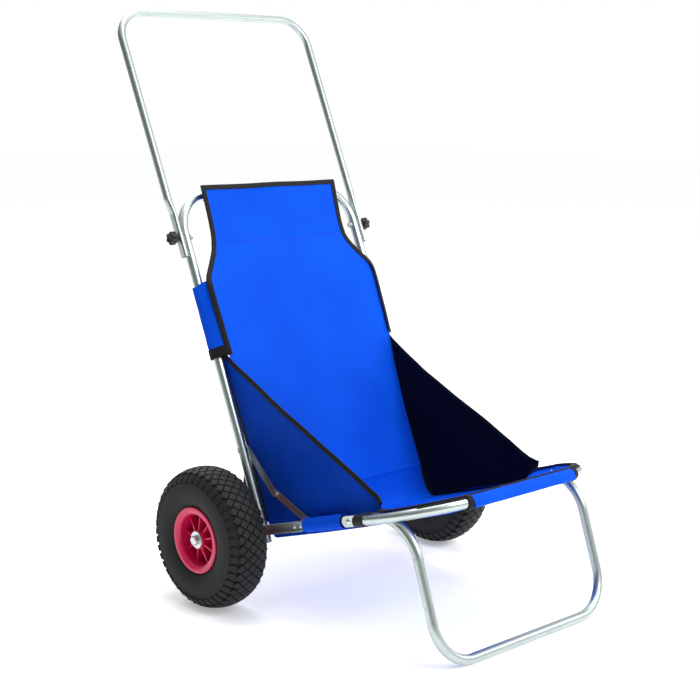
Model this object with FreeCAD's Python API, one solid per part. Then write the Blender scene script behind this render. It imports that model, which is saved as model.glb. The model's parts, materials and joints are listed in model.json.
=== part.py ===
import FreeCAD, Part
import math
import os
from FreeCAD import Placement, Rotation, Vector

# Folding beach cart. Millimetres, +Z up, +X to the user's right, the front faces -Y.
# Every place is worked out from the seat pivot line, which runs along X, and the whole
# model is centred over its footprint at the end.

# --- Frame ---------------------------------------------------------------------------
pivot_height = 140.5          # seat pivot line above the ground
frame_tube_d = 18.0
frame_wall = 1.5
frame_half = 219.0            # middle of the cart to the centre of a side tube
frame_lean = 24.1             # degrees the back frame leans from upright
frame_length = 646.0          # pivot to the top bar's centreline, along the tube
frame_tail = 24.0             # tube below the pivot
frame_bend_r = 74.0

# --- Push handle ---------------------------------------------------------------------
handle_tube_d = 15.0
handle_wall = 1.3
handle_bolt_up = 565.0        # pivot to the clamp bolt, along the back frame
handle_reach = 460.0          # clamp bolt to the handle bar's centreline
handle_spread = 19.4          # handle's corners outboard of the side tubes' centres
handle_bend_r = 60.0
handle_splay_r = 400.0         # slight bend above each pressed end, where the arms splay
handle_splay_up = 30.0
handle_extra_lean = 0.7       # degrees beyond the back frame
handle_flat_below = 38.0
handle_flat_above = 47.0
handle_flat_width = 17.0
handle_flat_thickness = 8.5   # the arms are only pressed oval
flat_thickness = 4.0          # a tube pressed flat
flat_transition = 28.0

# --- Seat ----------------------------------------------------------------------------
rail_rise = 17.0              # degrees the seat rails climb towards the front
rail_start = 88.0             # pivot to the rear end of a rail
leg_corner = 381.0            # pivot to the corner where a rail turns into a leg
leg_corner_r = 78.0
leg_reach = 449.5             # foot bar in front of the pivot line
leg_bend_r = 73.5
bow_front = 443.8             # pivot to the bow's front bar, along the rail
bow_bend_r = 135.0
bow_tip = 231.0
bow_rivet_at = 246.0
bow_flat_end = 262.0
bow_flat_width = 19.0
bow_stand_off = 2.5           # bow tube's side clear of its flat end's face
strap_start = 276.0
strap_width = 22.0
strap_thickness = 1.2

# --- Hinge channels and folding stays --------------------------------------------------
channel_height = 18.0
channel_depth = 9.0
channel_sheet = 2.0
channel_tail = 10.0
channel_front = 122.0
channel_rivets_at = (99.0, 116.0)
stay_up = 151.0               # pivot to the stay's upper rivet, along the back frame
stay_slack = 1.7              # each link's length over half the open span
stay_width = 14.0
stay_strip = 2.5
stay_gap = 1.8                # tube to the upper link
rivet_r = 2.5
rivet_head_r = 5.0
rivet_dome = 2.2
flush_head = 1.2
pivot_pin_r = 4.0
pivot_head_r = 6.4

# --- Wheels --------------------------------------------------------------------------
wheel_r = 130.0
wheel_behind = 56.6           # axle behind the pivot line
wheel_outboard = 79.5         # side tube's centre to a wheel's middle plane
tyre_half_width = 42.5
tyre_tread = 9.0
tyre_side = 5.0
shoulder_drop = 11.0
rim_r = 50.5
rim_half = 36.5
rim_flange_r = 61.0
rim_flange = 3.2
rim_wall = 3.5
rim_ribs = 9
rim_rib_thickness = 3.0
hub_half = 30.0
hub_r = 17.0
bush_r = 10.2
bush_length = 20.0
axle_r = 6.0
washer_r = 15.5
washer_thickness = 2.0
cap_r = 8.5
cap_length = 8.0
valve_r = 4.0
inner_tube_r = 28.0
inner_tube_wall = 1.5
bracket_top = 115.0
bracket_sheet = 4.0
boss_r = 11.0
boss_half = 8.0

# --- Clamp knobs -----------------------------------------------------------------------
bolt_r = 3.0
knob_r = 9.4
knob_lobe_r = 3.6
knob_lobes = 6
knob_length = 15.0
knob_neck_r = 6.5
knob_neck = 4.5
nut_flats = 10.0
nut_length = 5.0

# --- Fabric --------------------------------------------------------------------------
cloth = 2.5                   # fabric, lining and seams together
sleeve_cloth = 2.0
panel_forward = 16.5          # back panel's rear face in front of the tube centres
panel_over = 9.0              # back panel's top edge above the top bar's centreline
panel_foot = 44.0
panel_top_inset = 49.0        # each inset runs inward from a side tube's centre
panel_neck_inset = 51.0
neck_low = 535.0
shoulder_up = 478.0
sleeve_top = 466.0
sleeve_foot = 343.0
panel_low_inset = 19.0
pocket_inset = 79.0
seat_drop = 10.5              # seat cloth's upper face below the rail centres
seat_inset = 19.0
seat_start = 30.0
seat_corner_r = 140.0
front_sleeve_inset = 79.0
side_panel_inset = 20.0       # to the outer face of a side panel
side_panel_cloth = 2.0
gusset_up = 347.0             # top rear corner of a side panel, along the back frame
gusset_out = 268.0            # top front corner, along the rail
gusset_lift = 38.0

# --- Clearances ------------------------------------------------------------------------
side_gap = 0.3                # between pieces that slide past each other
pin_fit = 0.06                # radial, for a turning pin
hole_fit = 0.1                # radial, for a bolt in a tube

frame_r = frame_tube_d / 2
handle_r = handle_tube_d / 2
lean = math.radians(frame_lean)
rise = math.radians(rail_rise)
outer_side = frame_half + frame_r
inner_side = frame_half - frame_r
lap = outer_side + side_gap
handle_half = frame_half + handle_spread
track_half = frame_half + wheel_outboard
panel_top = frame_length + panel_over
panel_half_top = frame_half - panel_top_inset
panel_half_neck = frame_half - panel_neck_inset
panel_half_low = frame_half - panel_low_inset
pocket_half = frame_half - pocket_inset
seat_half = frame_half - seat_inset
front_sleeve_half = frame_half - front_sleeve_inset
side_panel_at = frame_half - side_panel_inset
bow_half = lap + bow_stand_off + frame_r
X_AXIS = Vector(1, 0, 0)


def on_frame(up, forward=0.0, x=0.0):
    """Point on the back frame: up the tube from the pivot, and in front of its centreline."""
    y = up * math.sin(lean) - forward * math.cos(lean)
    z = up * math.cos(lean) + forward * math.sin(lean)
    return Vector(x, y, pivot_height + z)


def on_rail(out, above=0.0, x=0.0):
    """Point on the seat rails: out from the pivot, and square above their centreline."""
    y = -out * math.cos(rise) + above * math.sin(rise)
    z = out * math.sin(rise) + above * math.cos(rise)
    return Vector(x, y, pivot_height + z)


def frame_place(up, x=0.0):
    """Local Z runs up the back frame, local X outboard, local Y rearward."""
    return Placement(on_frame(up, 0, x), Rotation(X_AXIS, -frame_lean))


def rail_place(out, x=0.0):
    """Local Z runs out along the rail, local X outboard, local Y square upward."""
    return Placement(on_rail(out, 0, x), Rotation(X_AXIS, 90 - rail_rise))


def placed(shape, place):
    shape = shape.copy()
    shape.Placement = place.multiply(shape.Placement)
    return shape


def mirrored(shape):
    return shape.mirror(Vector(0, 0, 0), X_AXIS)


def both(shape):
    """A right-hand solid and its left-hand twin as one group."""
    return Part.makeCompound([shape, mirrored(shape)])


def across(radius, x_from, x_to, centre):
    """A round bar along X through a point of the side view."""
    start = Vector(x_from, centre.y, centre.z)
    return Part.makeCylinder(radius, x_to - x_from, start, X_AXIS)


def ring_across(outer, inner, x_from, x_to, centre):
    return across(outer, x_from, x_to, centre).cut(across(inner, x_from, x_to, centre))


def bent_path(points, radii):
    """Straight runs joined by tangent arcs, one radius for each inner point."""
    edges = []
    start = points[0]
    for before, corner, after, radius in zip(points, points[1:], points[2:], radii):
        back = (before - corner).normalize()
        ahead = (after - corner).normalize()
        half_opening = back.getAngle(ahead) / 2
        reach = radius / math.tan(half_opening)
        middle = (back + ahead).normalize()
        arc_mid = corner + middle * (radius / math.sin(half_opening) - radius)
        arc_from = corner + back * reach
        arc_to = corner + ahead * reach
        edges.append(Part.LineSegment(start, arc_from).toShape())
        edges.append(Part.Arc(arc_from, arc_mid, arc_to).toShape())
        start = arc_to
    edges.append(Part.LineSegment(start, points[-1]).toShape())
    return Part.Wire(edges)


def rod(path, radius):
    first = path.OrderedEdges[0]
    start = first.valueAt(first.FirstParameter)
    ahead = first.tangentAt(first.FirstParameter)
    circle = Part.Wire(Part.makeCircle(radius, start, ahead))
    return path.makePipeShell([circle], True, True)


def tube(path, outer, inner):
    return rod(path, outer).cut(rod(path, inner))


def section(half_x, half_y, flat_y, centre_x, z, round_sides):
    """Closed outline of two noses and two sides, the sides flat or bowed."""
    a = Vector(centre_x - half_x, -flat_y, z)
    b = Vector(centre_x + half_x, -flat_y, z)
    c = Vector(centre_x + half_x, flat_y, z)
    d = Vector(centre_x - half_x, flat_y, z)
    nose_low = Part.Arc(a, Vector(centre_x, -half_y, z), b).toShape()
    nose_high = Part.Arc(c, Vector(centre_x, half_y, z), d).toShape()
    if round_sides:
        right = Part.Arc(b, Vector(centre_x + half_y, 0, z), c).toShape()
        left = Part.Arc(d, Vector(centre_x - half_y, 0, z), a).toShape()
    else:
        right = Part.LineSegment(b, c).toShape()
        left = Part.LineSegment(d, a).toShape()
    return Part.Wire([nose_low, right, nose_high, left])


def pressed_end(radius, width, below, above, stand_off=0.0):
    """End of a tube pressed flat near its inboard side; local Z runs up the tube."""
    half = flat_thickness / 2
    flat = section(half, width / 2, width / 2 - half, half, above, False)
    split = math.radians(50)
    circle = section(radius * math.sin(split), radius, radius * math.cos(split),
                     radius + stand_off, above + flat_transition, True)
    neck = Part.makeLoft([flat, circle], True, True)
    length = above + below - width / 2
    plate = Part.makeBox(flat_thickness, width, length, Vector(0, -width / 2, above - length))
    tip = Part.makeCylinder(width / 2, flat_thickness, Vector(0, 0, above - length), X_AXIS)
    return neck.fuse([plate, tip]).removeSplitter()


def dome(radius, height, x, centre, outward):
    """A rivet or screw head: a shallow dome on the side face x."""
    ball = (radius * radius + height * height) / (2 * height)
    middle = Vector(x + outward * (height - ball), centre.y, centre.z)
    cap_from = x if outward > 0 else x - height
    return Part.makeSphere(ball, middle).common(across(radius, cap_from, cap_from + height, centre))


def rivet(radius, head_r, centre, x_in, x_out, inner_head, outer_head):
    """Shank along X with a flat inboard head and a domed outboard one."""
    shank = across(radius, x_in - inner_head, x_out, centre)
    flat = across(head_r, x_in - inner_head, x_in, centre)
    return shank.fuse([flat, dome(head_r, outer_head, x_out, centre, 1)]).removeSplitter()


# --- Places worked out once --------------------------------------------------------------
pivot = on_frame(0)
clamp = on_frame(handle_bolt_up)
axle_at = Vector(0, wheel_behind, wheel_r)
stay_top = on_frame(stay_up)
stay_low = on_rail(channel_rivets_at[-1])
span = stay_low - stay_top
stay_link = span.Length / 2 + stay_slack
knee_drop = math.sqrt(stay_link ** 2 - (span.Length / 2) ** 2)
knee_side = Vector(0, span.z, -span.y).normalize()
if knee_side.dot(pivot - stay_top) < 0:
    knee_side = knee_side * -1
knee = stay_top + span * 0.5 + knee_side * knee_drop
upper_link_out = inner_side - stay_gap
upper_link_in = upper_link_out - stay_strip
lower_link_out = upper_link_in - side_gap
lower_link_in = lower_link_out - stay_strip
pieces = {}

# --- Back frame ----------------------------------------------------------------------------


def make_back_frame():
    left = -frame_half
    path = bent_path([on_frame(-frame_tail, 0, left), on_frame(frame_length, 0, left),
                      on_frame(frame_length, 0, frame_half), on_frame(-frame_tail, 0, frame_half)],
                     [frame_bend_r] * 2)
    frame = tube(path, frame_r, frame_r - frame_wall)
    wide = outer_side + 1
    holes = [(pivot_pin_r, pivot), (rivet_r, stay_top), (bolt_r + hole_fit, clamp)]
    return frame.cut([across(radius, -wide, wide, centre) for radius, centre in holes])


def make_end_plug():
    bore_r = frame_r - frame_wall
    stem = Part.makeCylinder(bore_r, frame_r)
    rim = Part.makeCylinder(frame_r, frame_wall, Vector(0, 0, -frame_wall))
    return placed(stem.fuse(rim), frame_place(-frame_tail, frame_half))


pieces["back_frame"] = make_back_frame()
pieces["frame_end_plugs"] = both(make_end_plug())
pieces["seat_pivot_pins"] = both(rivet(pivot_pin_r, pivot_head_r, pivot, inner_side,
                                       lap + channel_sheet + side_gap, flush_head, rivet_dome))
pieces["stay_top_rivets"] = both(rivet(rivet_r, rivet_head_r, stay_top,
                                       upper_link_in - side_gap, outer_side,
                                       flush_head, rivet_dome))

# --- Push handle, clamp bolts and knobs ------------------------------------------------------


def oval_end(radius, width, thickness):
    """One skin of an arm's pressed end, cut off square; local Z runs up the tube."""
    middle = handle_flat_thickness / 2
    low = handle_flat_above
    oval = section(thickness / 2, width / 2, (width - thickness) / 2, middle, low, False)
    split = math.radians(50)
    circle = section(radius * math.sin(split), radius, radius * math.cos(split),
                     handle_r, low + flat_transition, True)
    neck = Part.makeLoft([oval, circle], True, True)
    shank = Part.Face(oval).extrude(Vector(0, 0, -handle_flat_below - handle_flat_above))
    return neck.fuse(shank).removeSplitter()


def make_handle():
    handle_lean = frame_lean + handle_extra_lean
    place = Placement(clamp, Rotation(X_AXIS, -handle_lean))
    first = handle_flat_above + flat_transition
    round_x = lap + handle_r
    splay = first + handle_splay_up
    corners = [(-round_x, first), (-round_x, splay), (-handle_half, handle_reach),
               (handle_half, handle_reach), (round_x, splay), (round_x, first)]
    path = bent_path([place.multVec(Vector(x, 0, z)) for x, z in corners],
                     [handle_splay_r, handle_bend_r, handle_bend_r, handle_splay_r])
    bore_width = handle_flat_width - 2 * handle_wall
    bore_thickness = handle_flat_thickness - 2 * handle_wall
    end = oval_end(handle_r, handle_flat_width, handle_flat_thickness)
    end = end.cut(oval_end(handle_r - handle_wall, bore_width, bore_thickness))
    end = placed(end, place.multiply(Placement(Vector(lap, 0, 0), Rotation())))
    bar = tube(path, handle_r, handle_r - handle_wall)
    whole = bar.fuse([end, mirrored(end)])
    wide = lap + handle_tube_d
    return whole.cut(across(bolt_r + hole_fit, -wide, wide, clamp))


def make_knob():
    start = lap + handle_flat_thickness + side_gap
    face = start + knob_neck
    neck = across(knob_neck_r, start, face, clamp)
    body = across(knob_r, face, face + knob_length, clamp)
    lobes = []
    for index in range(knob_lobes):
        angle = 2 * math.pi * index / knob_lobes
        centre = clamp + Vector(0, knob_r * math.cos(angle), knob_r * math.sin(angle))
        lobes.append(across(knob_lobe_r, face, face + knob_length, centre))
    knob = neck.fuse([body] + lobes).removeSplitter()
    return knob.cut(across(bolt_r, start, face + knob_length / 2, clamp))


def make_nut():
    flats = nut_flats / 2
    corner_r = flats / math.cos(math.radians(30))
    x = inner_side - nut_length
    points = []
    for index in range(7):
        angle = math.radians(60 * index)
        points.append(Vector(x, clamp.y + corner_r * math.cos(angle),
                             clamp.z + corner_r * math.sin(angle)))
    hexagon = Part.Face(Part.makePolygon(points)).extrude(Vector(nut_length, 0, 0))
    return hexagon.cut(across(bolt_r + pin_fit, x, inner_side, clamp))


pieces["push_handle"] = make_handle()
knob_face = lap + handle_flat_thickness + side_gap + knob_neck
clamp_bolt = across(bolt_r, inner_side - nut_length, knob_face + knob_length / 2, clamp)
pieces["clamp_knob_right"] = make_knob()
pieces["clamp_knob_left"] = mirrored(pieces["clamp_knob_right"])
pieces["clamp_bolt_right"] = clamp_bolt
pieces["clamp_bolt_left"] = mirrored(clamp_bolt)
pieces["clamp_nuts"] = both(make_nut())

# --- Axle and its brackets -------------------------------------------------------------------


def make_axle_bracket():
    """Plate welded to the tube's rear, with a boss round the axle."""
    x = frame_half - bracket_sheet / 2
    behind = -0.9 * frame_r
    outline = [on_frame(bracket_top, behind, x), on_frame(4 - frame_tail, behind, x),
               Vector(x, axle_at.y, axle_at.z - boss_r), Vector(x, axle_at.y + boss_r, axle_at.z)]
    plate = Part.Face(Part.makePolygon(outline + outline[:1]))
    plate = plate.extrude(Vector(bracket_sheet, 0, 0))
    boss = across(boss_r, frame_half - boss_half, frame_half + boss_half, axle_at)
    length = frame_length
    tube_room = placed(Part.makeCylinder(frame_r, length), frame_place(-frame_tail, frame_half))
    bore = across(axle_r + pin_fit, frame_half - boss_half, frame_half + boss_half, axle_at)
    return plate.fuse(boss).removeSplitter().cut([tube_room, bore])


def make_axle_cap():
    start = track_half + hub_half + side_gap + washer_thickness
    body = across(cap_r, start, start + cap_length, axle_at)
    body = body.makeFillet(cap_length / 3, [edge for edge in body.Edges
                                            if edge.BoundBox.XMin > start + cap_length / 2
                                            and edge.BoundBox.XLength < 0.01])
    return body.cut(across(axle_r, start, start + cap_length / 2, axle_at))


axle_end = track_half + hub_half + side_gap + washer_thickness + cap_length / 2
pieces["axle"] = across(axle_r, -axle_end, axle_end, axle_at)
pieces["axle_bracket_right"] = make_axle_bracket()
pieces["axle_bracket_left"] = mirrored(pieces["axle_bracket_right"])
hub_inner = track_half - hub_half - side_gap - washer_thickness
pieces["axle_spacers"] = both(ring_across(axle_r + 3, axle_r + pin_fit,
                                          frame_half + boss_half, hub_inner, axle_at))
pieces["axle_washers"] = Part.makeCompound(
    [both(ring_across(washer_r, axle_r + pin_fit, start, start + washer_thickness, axle_at))
     for start in (hub_inner, track_half + hub_half + side_gap)])
pieces["axle_caps"] = both(make_axle_cap())

# --- Wheels ----------------------------------------------------------------------------------


def turned(outline):
    """Turn a closed outline of (x, radius) edges about the axle line, at the right wheel."""
    face = Part.Face(Part.Wire(outline))
    wheel = face.revolve(Vector(0, 0, 0), X_AXIS, 360)
    return placed(wheel, Placement(Vector(track_half, axle_at.y, axle_at.z), Rotation()))


def arc(start, middle, end):
    points = [Vector(x, 0, radius) for x, radius in (start, middle, end)]
    return Part.Arc(*points).toShape()


def line(start, end):
    return Part.LineSegment(Vector(start[0], 0, start[1]), Vector(end[0], 0, end[1])).toShape()


def closed_lines(points):
    return [line(a, b) for a, b in zip(points, points[1:] + points[:1])]


def make_tyre():
    bead_r = rim_r + side_gap
    bead_top = rim_flange_r + side_gap
    bead_out = rim_half - rim_flange - side_gap
    bead_in = bead_out - tyre_side
    widest_r = (wheel_r + bead_r) / 2
    shoulder = (tyre_half_width - 5.0, wheel_r - shoulder_drop)
    inner_shoulder = (shoulder[0] - tyre_side - 1, shoulder[1] - tyre_side)
    crown_in = wheel_r - tyre_tread

    def flip(point):
        return (-point[0], point[1])

    bead_a, bead_b = (bead_in, bead_r), (bead_out, bead_r)
    top_a, top_b = (bead_in, bead_top), (bead_out, bead_top)
    wide, wide_in = (tyre_half_width, widest_r), (tyre_half_width - tyre_side, widest_r)
    outline = [line(bead_a, bead_b), line(bead_b, top_b), arc(top_b, wide, shoulder),
               arc(shoulder, (0, wheel_r), flip(shoulder)),
               arc(flip(shoulder), flip(wide), flip(top_b)), line(flip(top_b), flip(bead_b)),
               line(flip(bead_b), flip(bead_a)), line(flip(bead_a), flip(top_a)),
               arc(flip(top_a), flip(wide_in), flip(inner_shoulder)),
               arc(flip(inner_shoulder), (0, crown_in), inner_shoulder),
               arc(inner_shoulder, wide_in, top_a), line(top_a, bead_a)]
    return turned(outline)


web_from = -14.0
web_to = -10.0
valve_angle = 25.0            # degrees from upright
valve_x = 2.0


def valve_room(radius, low, high):
    """Radial bore or stem at the valve's place, between two distances from the axle."""
    direction = Vector(0, math.sin(math.radians(valve_angle)), math.cos(math.radians(valve_angle)))
    start = Vector(track_half + valve_x, axle_at.y, axle_at.z) + direction * low
    return Part.makeCylinder(radius, high - low, start, direction)


def make_rim():
    floor_r = rim_r - rim_wall
    outline = [(-rim_half, rim_flange_r), (-rim_half, floor_r), (web_from, floor_r),
               (web_from, hub_r), (-hub_half, hub_r), (-hub_half, bush_r),
               (hub_half, bush_r), (hub_half, hub_r), (web_to, hub_r), (web_to, floor_r),
               (rim_half, floor_r), (rim_half, rim_flange_r),
               (rim_half - rim_flange, rim_flange_r), (rim_half - rim_flange, rim_r),
               (rim_flange - rim_half, rim_r), (rim_flange - rim_half, rim_flange_r)]
    rim = turned(closed_lines(outline))
    rib_face = [(web_to, hub_r - 1), (hub_half - 3, hub_r - 1), (rim_half - 14, floor_r + 1),
                (web_to, floor_r + 1)]
    rib = Part.Face(Part.Wire(closed_lines(rib_face)))
    rib.translate(Vector(0, -rim_rib_thickness / 2, 0))
    rib = rib.extrude(Vector(0, rim_rib_thickness, 0))
    ribs = []
    for index in range(rim_ribs):
        blade = rib.copy()
        blade.rotate(Vector(0, 0, 0), X_AXIS, 360 * (index + 0.5) / rim_ribs - valve_angle)
        blade.translate(Vector(track_half, axle_at.y, axle_at.z))
        ribs.append(blade)
    whole = rim.fuse(ribs)
    return whole.cut(valve_room(valve_r + pin_fit, floor_r - 2, rim_flange_r))


def make_inner_tube():
    centre_r = (wheel_r - tyre_tread + rim_r) / 2
    axis = Vector(track_half, axle_at.y, axle_at.z)
    outer = Part.makeTorus(centre_r, inner_tube_r, axis, X_AXIS)
    air = Part.makeTorus(centre_r, inner_tube_r - inner_tube_wall, axis, X_AXIS)
    return outer.cut(air).cut(valve_room(valve_r + pin_fit, rim_r, centre_r))


def make_valve():
    stem = valve_room(valve_r, hub_r + 8, rim_flange_r + 1)
    cap = valve_room(valve_r - 0.8, hub_r + 3, hub_r + 8)
    return stem.fuse(cap)


bush = ring_across(bush_r, axle_r + pin_fit, track_half + hub_half - bush_length,
                   track_half + hub_half, axle_at)
bush_inner = ring_across(bush_r, axle_r + pin_fit, track_half - hub_half,
                         track_half - hub_half + bush_length, axle_at)
right_wheel = {"tyre": make_tyre(), "inner_tube": make_inner_tube(), "rim": make_rim(),
               "hub_bushes": Part.makeCompound([bush, bush_inner]), "valve": make_valve()}
for name, solid in right_wheel.items():
    pieces[name + "_right"] = solid
    pieces[name + "_left"] = mirrored(solid)

# --- Leg frame and seat bow --------------------------------------------------------------------


def make_leg_frame():
    foot_y = -leg_reach
    half = frame_half
    path = bent_path([on_rail(rail_start, 0, -half), on_rail(leg_corner, 0, -half),
                      Vector(-half, foot_y, frame_r), Vector(half, foot_y, frame_r),
                      on_rail(leg_corner, 0, half), on_rail(rail_start, 0, half)],
                     [leg_corner_r, leg_bend_r, leg_bend_r, leg_corner_r])
    legs = tube(path, frame_r, frame_r - frame_wall)
    wide = outer_side + 1
    places = [on_rail(out) for out in channel_rivets_at + (bow_rivet_at,)]
    return legs.cut([across(rivet_r, -wide, wide, place) for place in places])


def bow_path(first):
    return bent_path([on_rail(first, 0, -bow_half), on_rail(bow_front, 0, -bow_half),
                      on_rail(bow_front, 0, bow_half), on_rail(first, 0, bow_half)],
                     [bow_bend_r] * 2)


def make_bow():
    above = bow_flat_end - bow_rivet_at
    bar = tube(bow_path(bow_flat_end + flat_transition), frame_r, frame_r - frame_wall)
    end = pressed_end(frame_r, bow_flat_width, bow_rivet_at - bow_tip, above, bow_stand_off)
    end = placed(end, rail_place(bow_rivet_at, lap))
    whole = bar.fuse([end, mirrored(end)])
    wide = lap + frame_tube_d
    return whole.cut(across(rivet_r, -wide, wide, on_rail(bow_rivet_at)))


pieces["leg_frame"] = make_leg_frame()
pieces["seat_bow"] = make_bow()
pieces["bow_rivets"] = both(rivet(rivet_r, rivet_head_r, on_rail(bow_rivet_at), inner_side,
                                  lap + flat_thickness, flush_head, rivet_dome))

# --- Hinge channels -----------------------------------------------------------------------------


def make_channel():
    """U channel open to the outside, its web against the tube and the rail."""
    length = channel_front + channel_tail
    half = channel_height / 2
    block = Part.makeBox(channel_depth, channel_height, length, Vector(0, -half, 0))
    hollow = Part.makeBox(channel_depth, channel_height - 2 * channel_sheet, length,
                          Vector(channel_sheet, channel_sheet - half, 0))
    channel = placed(block.cut(hollow), rail_place(-channel_tail, lap))
    pin_hole = across(pivot_pin_r + pin_fit, lap, lap + channel_sheet, pivot)
    holes = [across(rivet_r, lap, lap + channel_sheet, on_rail(out)) for out in channel_rivets_at]
    return channel.cut([pin_hole] + holes)


pieces["hinge_channel_right"] = make_channel()
pieces["hinge_channel_left"] = mirrored(pieces["hinge_channel_right"])
pieces["channel_rivets"] = Part.makeCompound(
    [both(rivet(rivet_r, rivet_head_r, on_rail(out), inner_side, lap + channel_sheet,
                flush_head, rivet_dome)) for out in channel_rivets_at])

# --- Folding stays --------------------------------------------------------------------------------


def make_link(start, end, x_in, hole_r):
    """Flat strip with round ends and a hole at each end."""
    reach = end - start
    x_out = x_in + stay_strip
    bar = Part.makeBox(stay_strip, stay_width, reach.Length, Vector(0, -stay_width / 2, 0))
    tilt = math.degrees(math.atan2(-reach.y, reach.z))
    origin = Vector(x_in, start.y, start.z)
    bar = placed(bar, Placement(origin, Rotation(X_AXIS, tilt)))
    noses = [across(stay_width / 2, x_in, x_out, place) for place in (start, end)]
    strip = bar.fuse(noses).removeSplitter()
    return strip.cut([across(hole_r, x_in, x_out, place) for place in (start, end)])


link_hole = rivet_r + pin_fit
upper_link = make_link(stay_top, knee, upper_link_in, link_hole)
lower_link = make_link(knee, stay_low, lower_link_in, link_hole)
knee_shank = across(rivet_r, lower_link_in - side_gap, upper_link_out, knee)
knee_inner = across(rivet_head_r, lower_link_in - side_gap - flush_head,
                    lower_link_in - side_gap, knee)
knee_outer = across(rivet_head_r, upper_link_out, upper_link_out + flush_head, knee)
knee_rivet = knee_shank.fuse([knee_inner, knee_outer]).removeSplitter()
foot_head = across(rivet_head_r, lower_link_in - flush_head, lower_link_in, stay_low)
foot_shank = across(rivet_r, lower_link_in, lower_link_out, stay_low)
foot_collar = across(rivet_head_r, lower_link_out, inner_side - flush_head - side_gap, stay_low)
foot_rivet = foot_shank.fuse([foot_head, foot_collar]).removeSplitter()
for name, solid in {"upper_stay": upper_link, "lower_stay": lower_link,
                    "stay_knee_rivet": knee_rivet, "stay_foot_rivet": foot_rivet}.items():
    pieces[name + "_right"] = solid
    pieces[name + "_left"] = mirrored(solid)

# --- Fabric ---------------------------------------------------------------------------------------


def slab(points, thickness):
    """A flat panel from points in one plane, thickened along that plane's normal."""
    face = Part.Face(Part.makePolygon(points + points[:1]))
    return face.extrude(thickness)


def loop_round(tube_r):
    return tube_r + side_gap, tube_r + side_gap + sleeve_cloth


def make_back_panel():
    half = [(panel_half_low, panel_foot), (panel_half_low, sleeve_foot),
            (frame_half - 4, sleeve_foot), (frame_half - 4, shoulder_up),
            (panel_half_neck + 6, neck_low), (panel_half_neck, neck_low + 40),
            (panel_half_top, panel_top)]
    outline = half + [(-x, up) for x, up in reversed(half)]
    thickness = on_frame(0, cloth) - on_frame(0, 0)
    cloth_panel = slab([on_frame(up, panel_forward, x) for x, up in outline], thickness)
    inner, outer = loop_round(frame_r)
    pocket = ring_across(outer, inner, -pocket_half, pocket_half, on_frame(frame_length))
    web_reach = panel_forward - frame_r
    pocket_web = Part.makeBox(2 * pocket_half, web_reach, sleeve_cloth,
                              Vector(-pocket_half, -panel_forward - cloth / 2, 0))
    pocket_web = placed(pocket_web, frame_place(frame_length))
    height = sleeve_top - sleeve_foot
    room = Part.makeCylinder(inner, height)
    loop = Part.makeCylinder(outer, height)
    side_web = Part.makeBox(sleeve_cloth, web_reach + cloth / 2, height,
                            Vector(-4 - sleeve_cloth, -panel_forward - cloth / 2, 0))
    sleeve = placed(loop.fuse(side_web).cut(room), frame_place(sleeve_foot, frame_half))
    return cloth_panel.fuse([pocket, pocket_web, sleeve, mirrored(sleeve)]).removeSplitter()


def make_seat_panel():
    front = bow_front
    r = seat_corner_r
    bend = r * (1 - math.sqrt(0.5))
    low = -seat_drop - cloth

    def at(x, out):
        return on_rail(out, low, x)

    edges = [Part.LineSegment(at(-seat_half, seat_start), at(-seat_half, front - r)).toShape(),
             Part.Arc(at(-seat_half, front - r), at(bend - seat_half, front - bend),
                      at(r - seat_half, front)).toShape(),
             Part.LineSegment(at(r - seat_half, front), at(seat_half - r, front)).toShape(),
             Part.Arc(at(seat_half - r, front), at(seat_half - bend, front - bend),
                      at(seat_half, front - r)).toShape(),
             Part.LineSegment(at(seat_half, front - r), at(seat_half, seat_start)).toShape(),
             Part.LineSegment(at(seat_half, seat_start), at(-seat_half, seat_start)).toShape()]
    panel = Part.Face(Part.Wire(edges)).extrude(on_rail(0, cloth) - on_rail(0, 0))
    inner, outer = loop_round(frame_r)
    first = channel_front + 2
    length = bow_tip - 2 - first
    loop = Part.makeCylinder(outer, length)
    web = Part.makeBox(frame_half - seat_half + 2, cloth, length,
                       Vector(seat_half - frame_half - 2, low, 0))
    sleeve = placed(loop.fuse(web).cut(Part.makeCylinder(inner, length)),
                    rail_place(first, frame_half))
    path = bow_path(bow_flat_end + flat_transition)
    window = Part.makeBox(2 * front_sleeve_half, 3 * frame_half, 3 * frame_half,
                          Vector(-front_sleeve_half, -4 * frame_half, 0))
    front_sleeve = tube(path, outer, inner).common(window)
    return panel.fuse([sleeve, mirrored(sleeve), front_sleeve]).removeSplitter()


def make_side_panel():
    x = side_panel_at - side_panel_cloth
    back_face = panel_forward + cloth + side_gap
    seat_face = side_gap - seat_drop
    outline = [on_frame(gusset_up, back_face, x), on_rail(gusset_out, gusset_lift, x),
               on_rail(gusset_out, seat_face, x), on_rail(seat_start + 20, seat_face, x),
               on_frame(panel_foot + 20, back_face, x)]
    return slab(outline, Vector(side_panel_cloth, 0, 0))


def make_strap():
    inner = frame_r + 2 * side_gap
    outer = inner + strap_thickness
    apart = bow_half - frame_half
    rings = []
    for radius in (outer, inner):
        ends = [Part.makeCylinder(radius, strap_width, Vector(x, 0, 0)) for x in (0, apart)]
        middle = Part.makeBox(apart, 2 * radius, strap_width, Vector(0, -radius, 0))
        rings.append(middle.fuse(ends).removeSplitter())
    return placed(rings[0].cut(rings[1]), rail_place(strap_start, frame_half))


pieces["back_panel"] = make_back_panel()
pieces["seat_panel"] = make_seat_panel()
pieces["side_panel_right"] = make_side_panel()
pieces["side_panel_left"] = mirrored(pieces["side_panel_right"])
pieces["seat_straps"] = both(make_strap())

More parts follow.
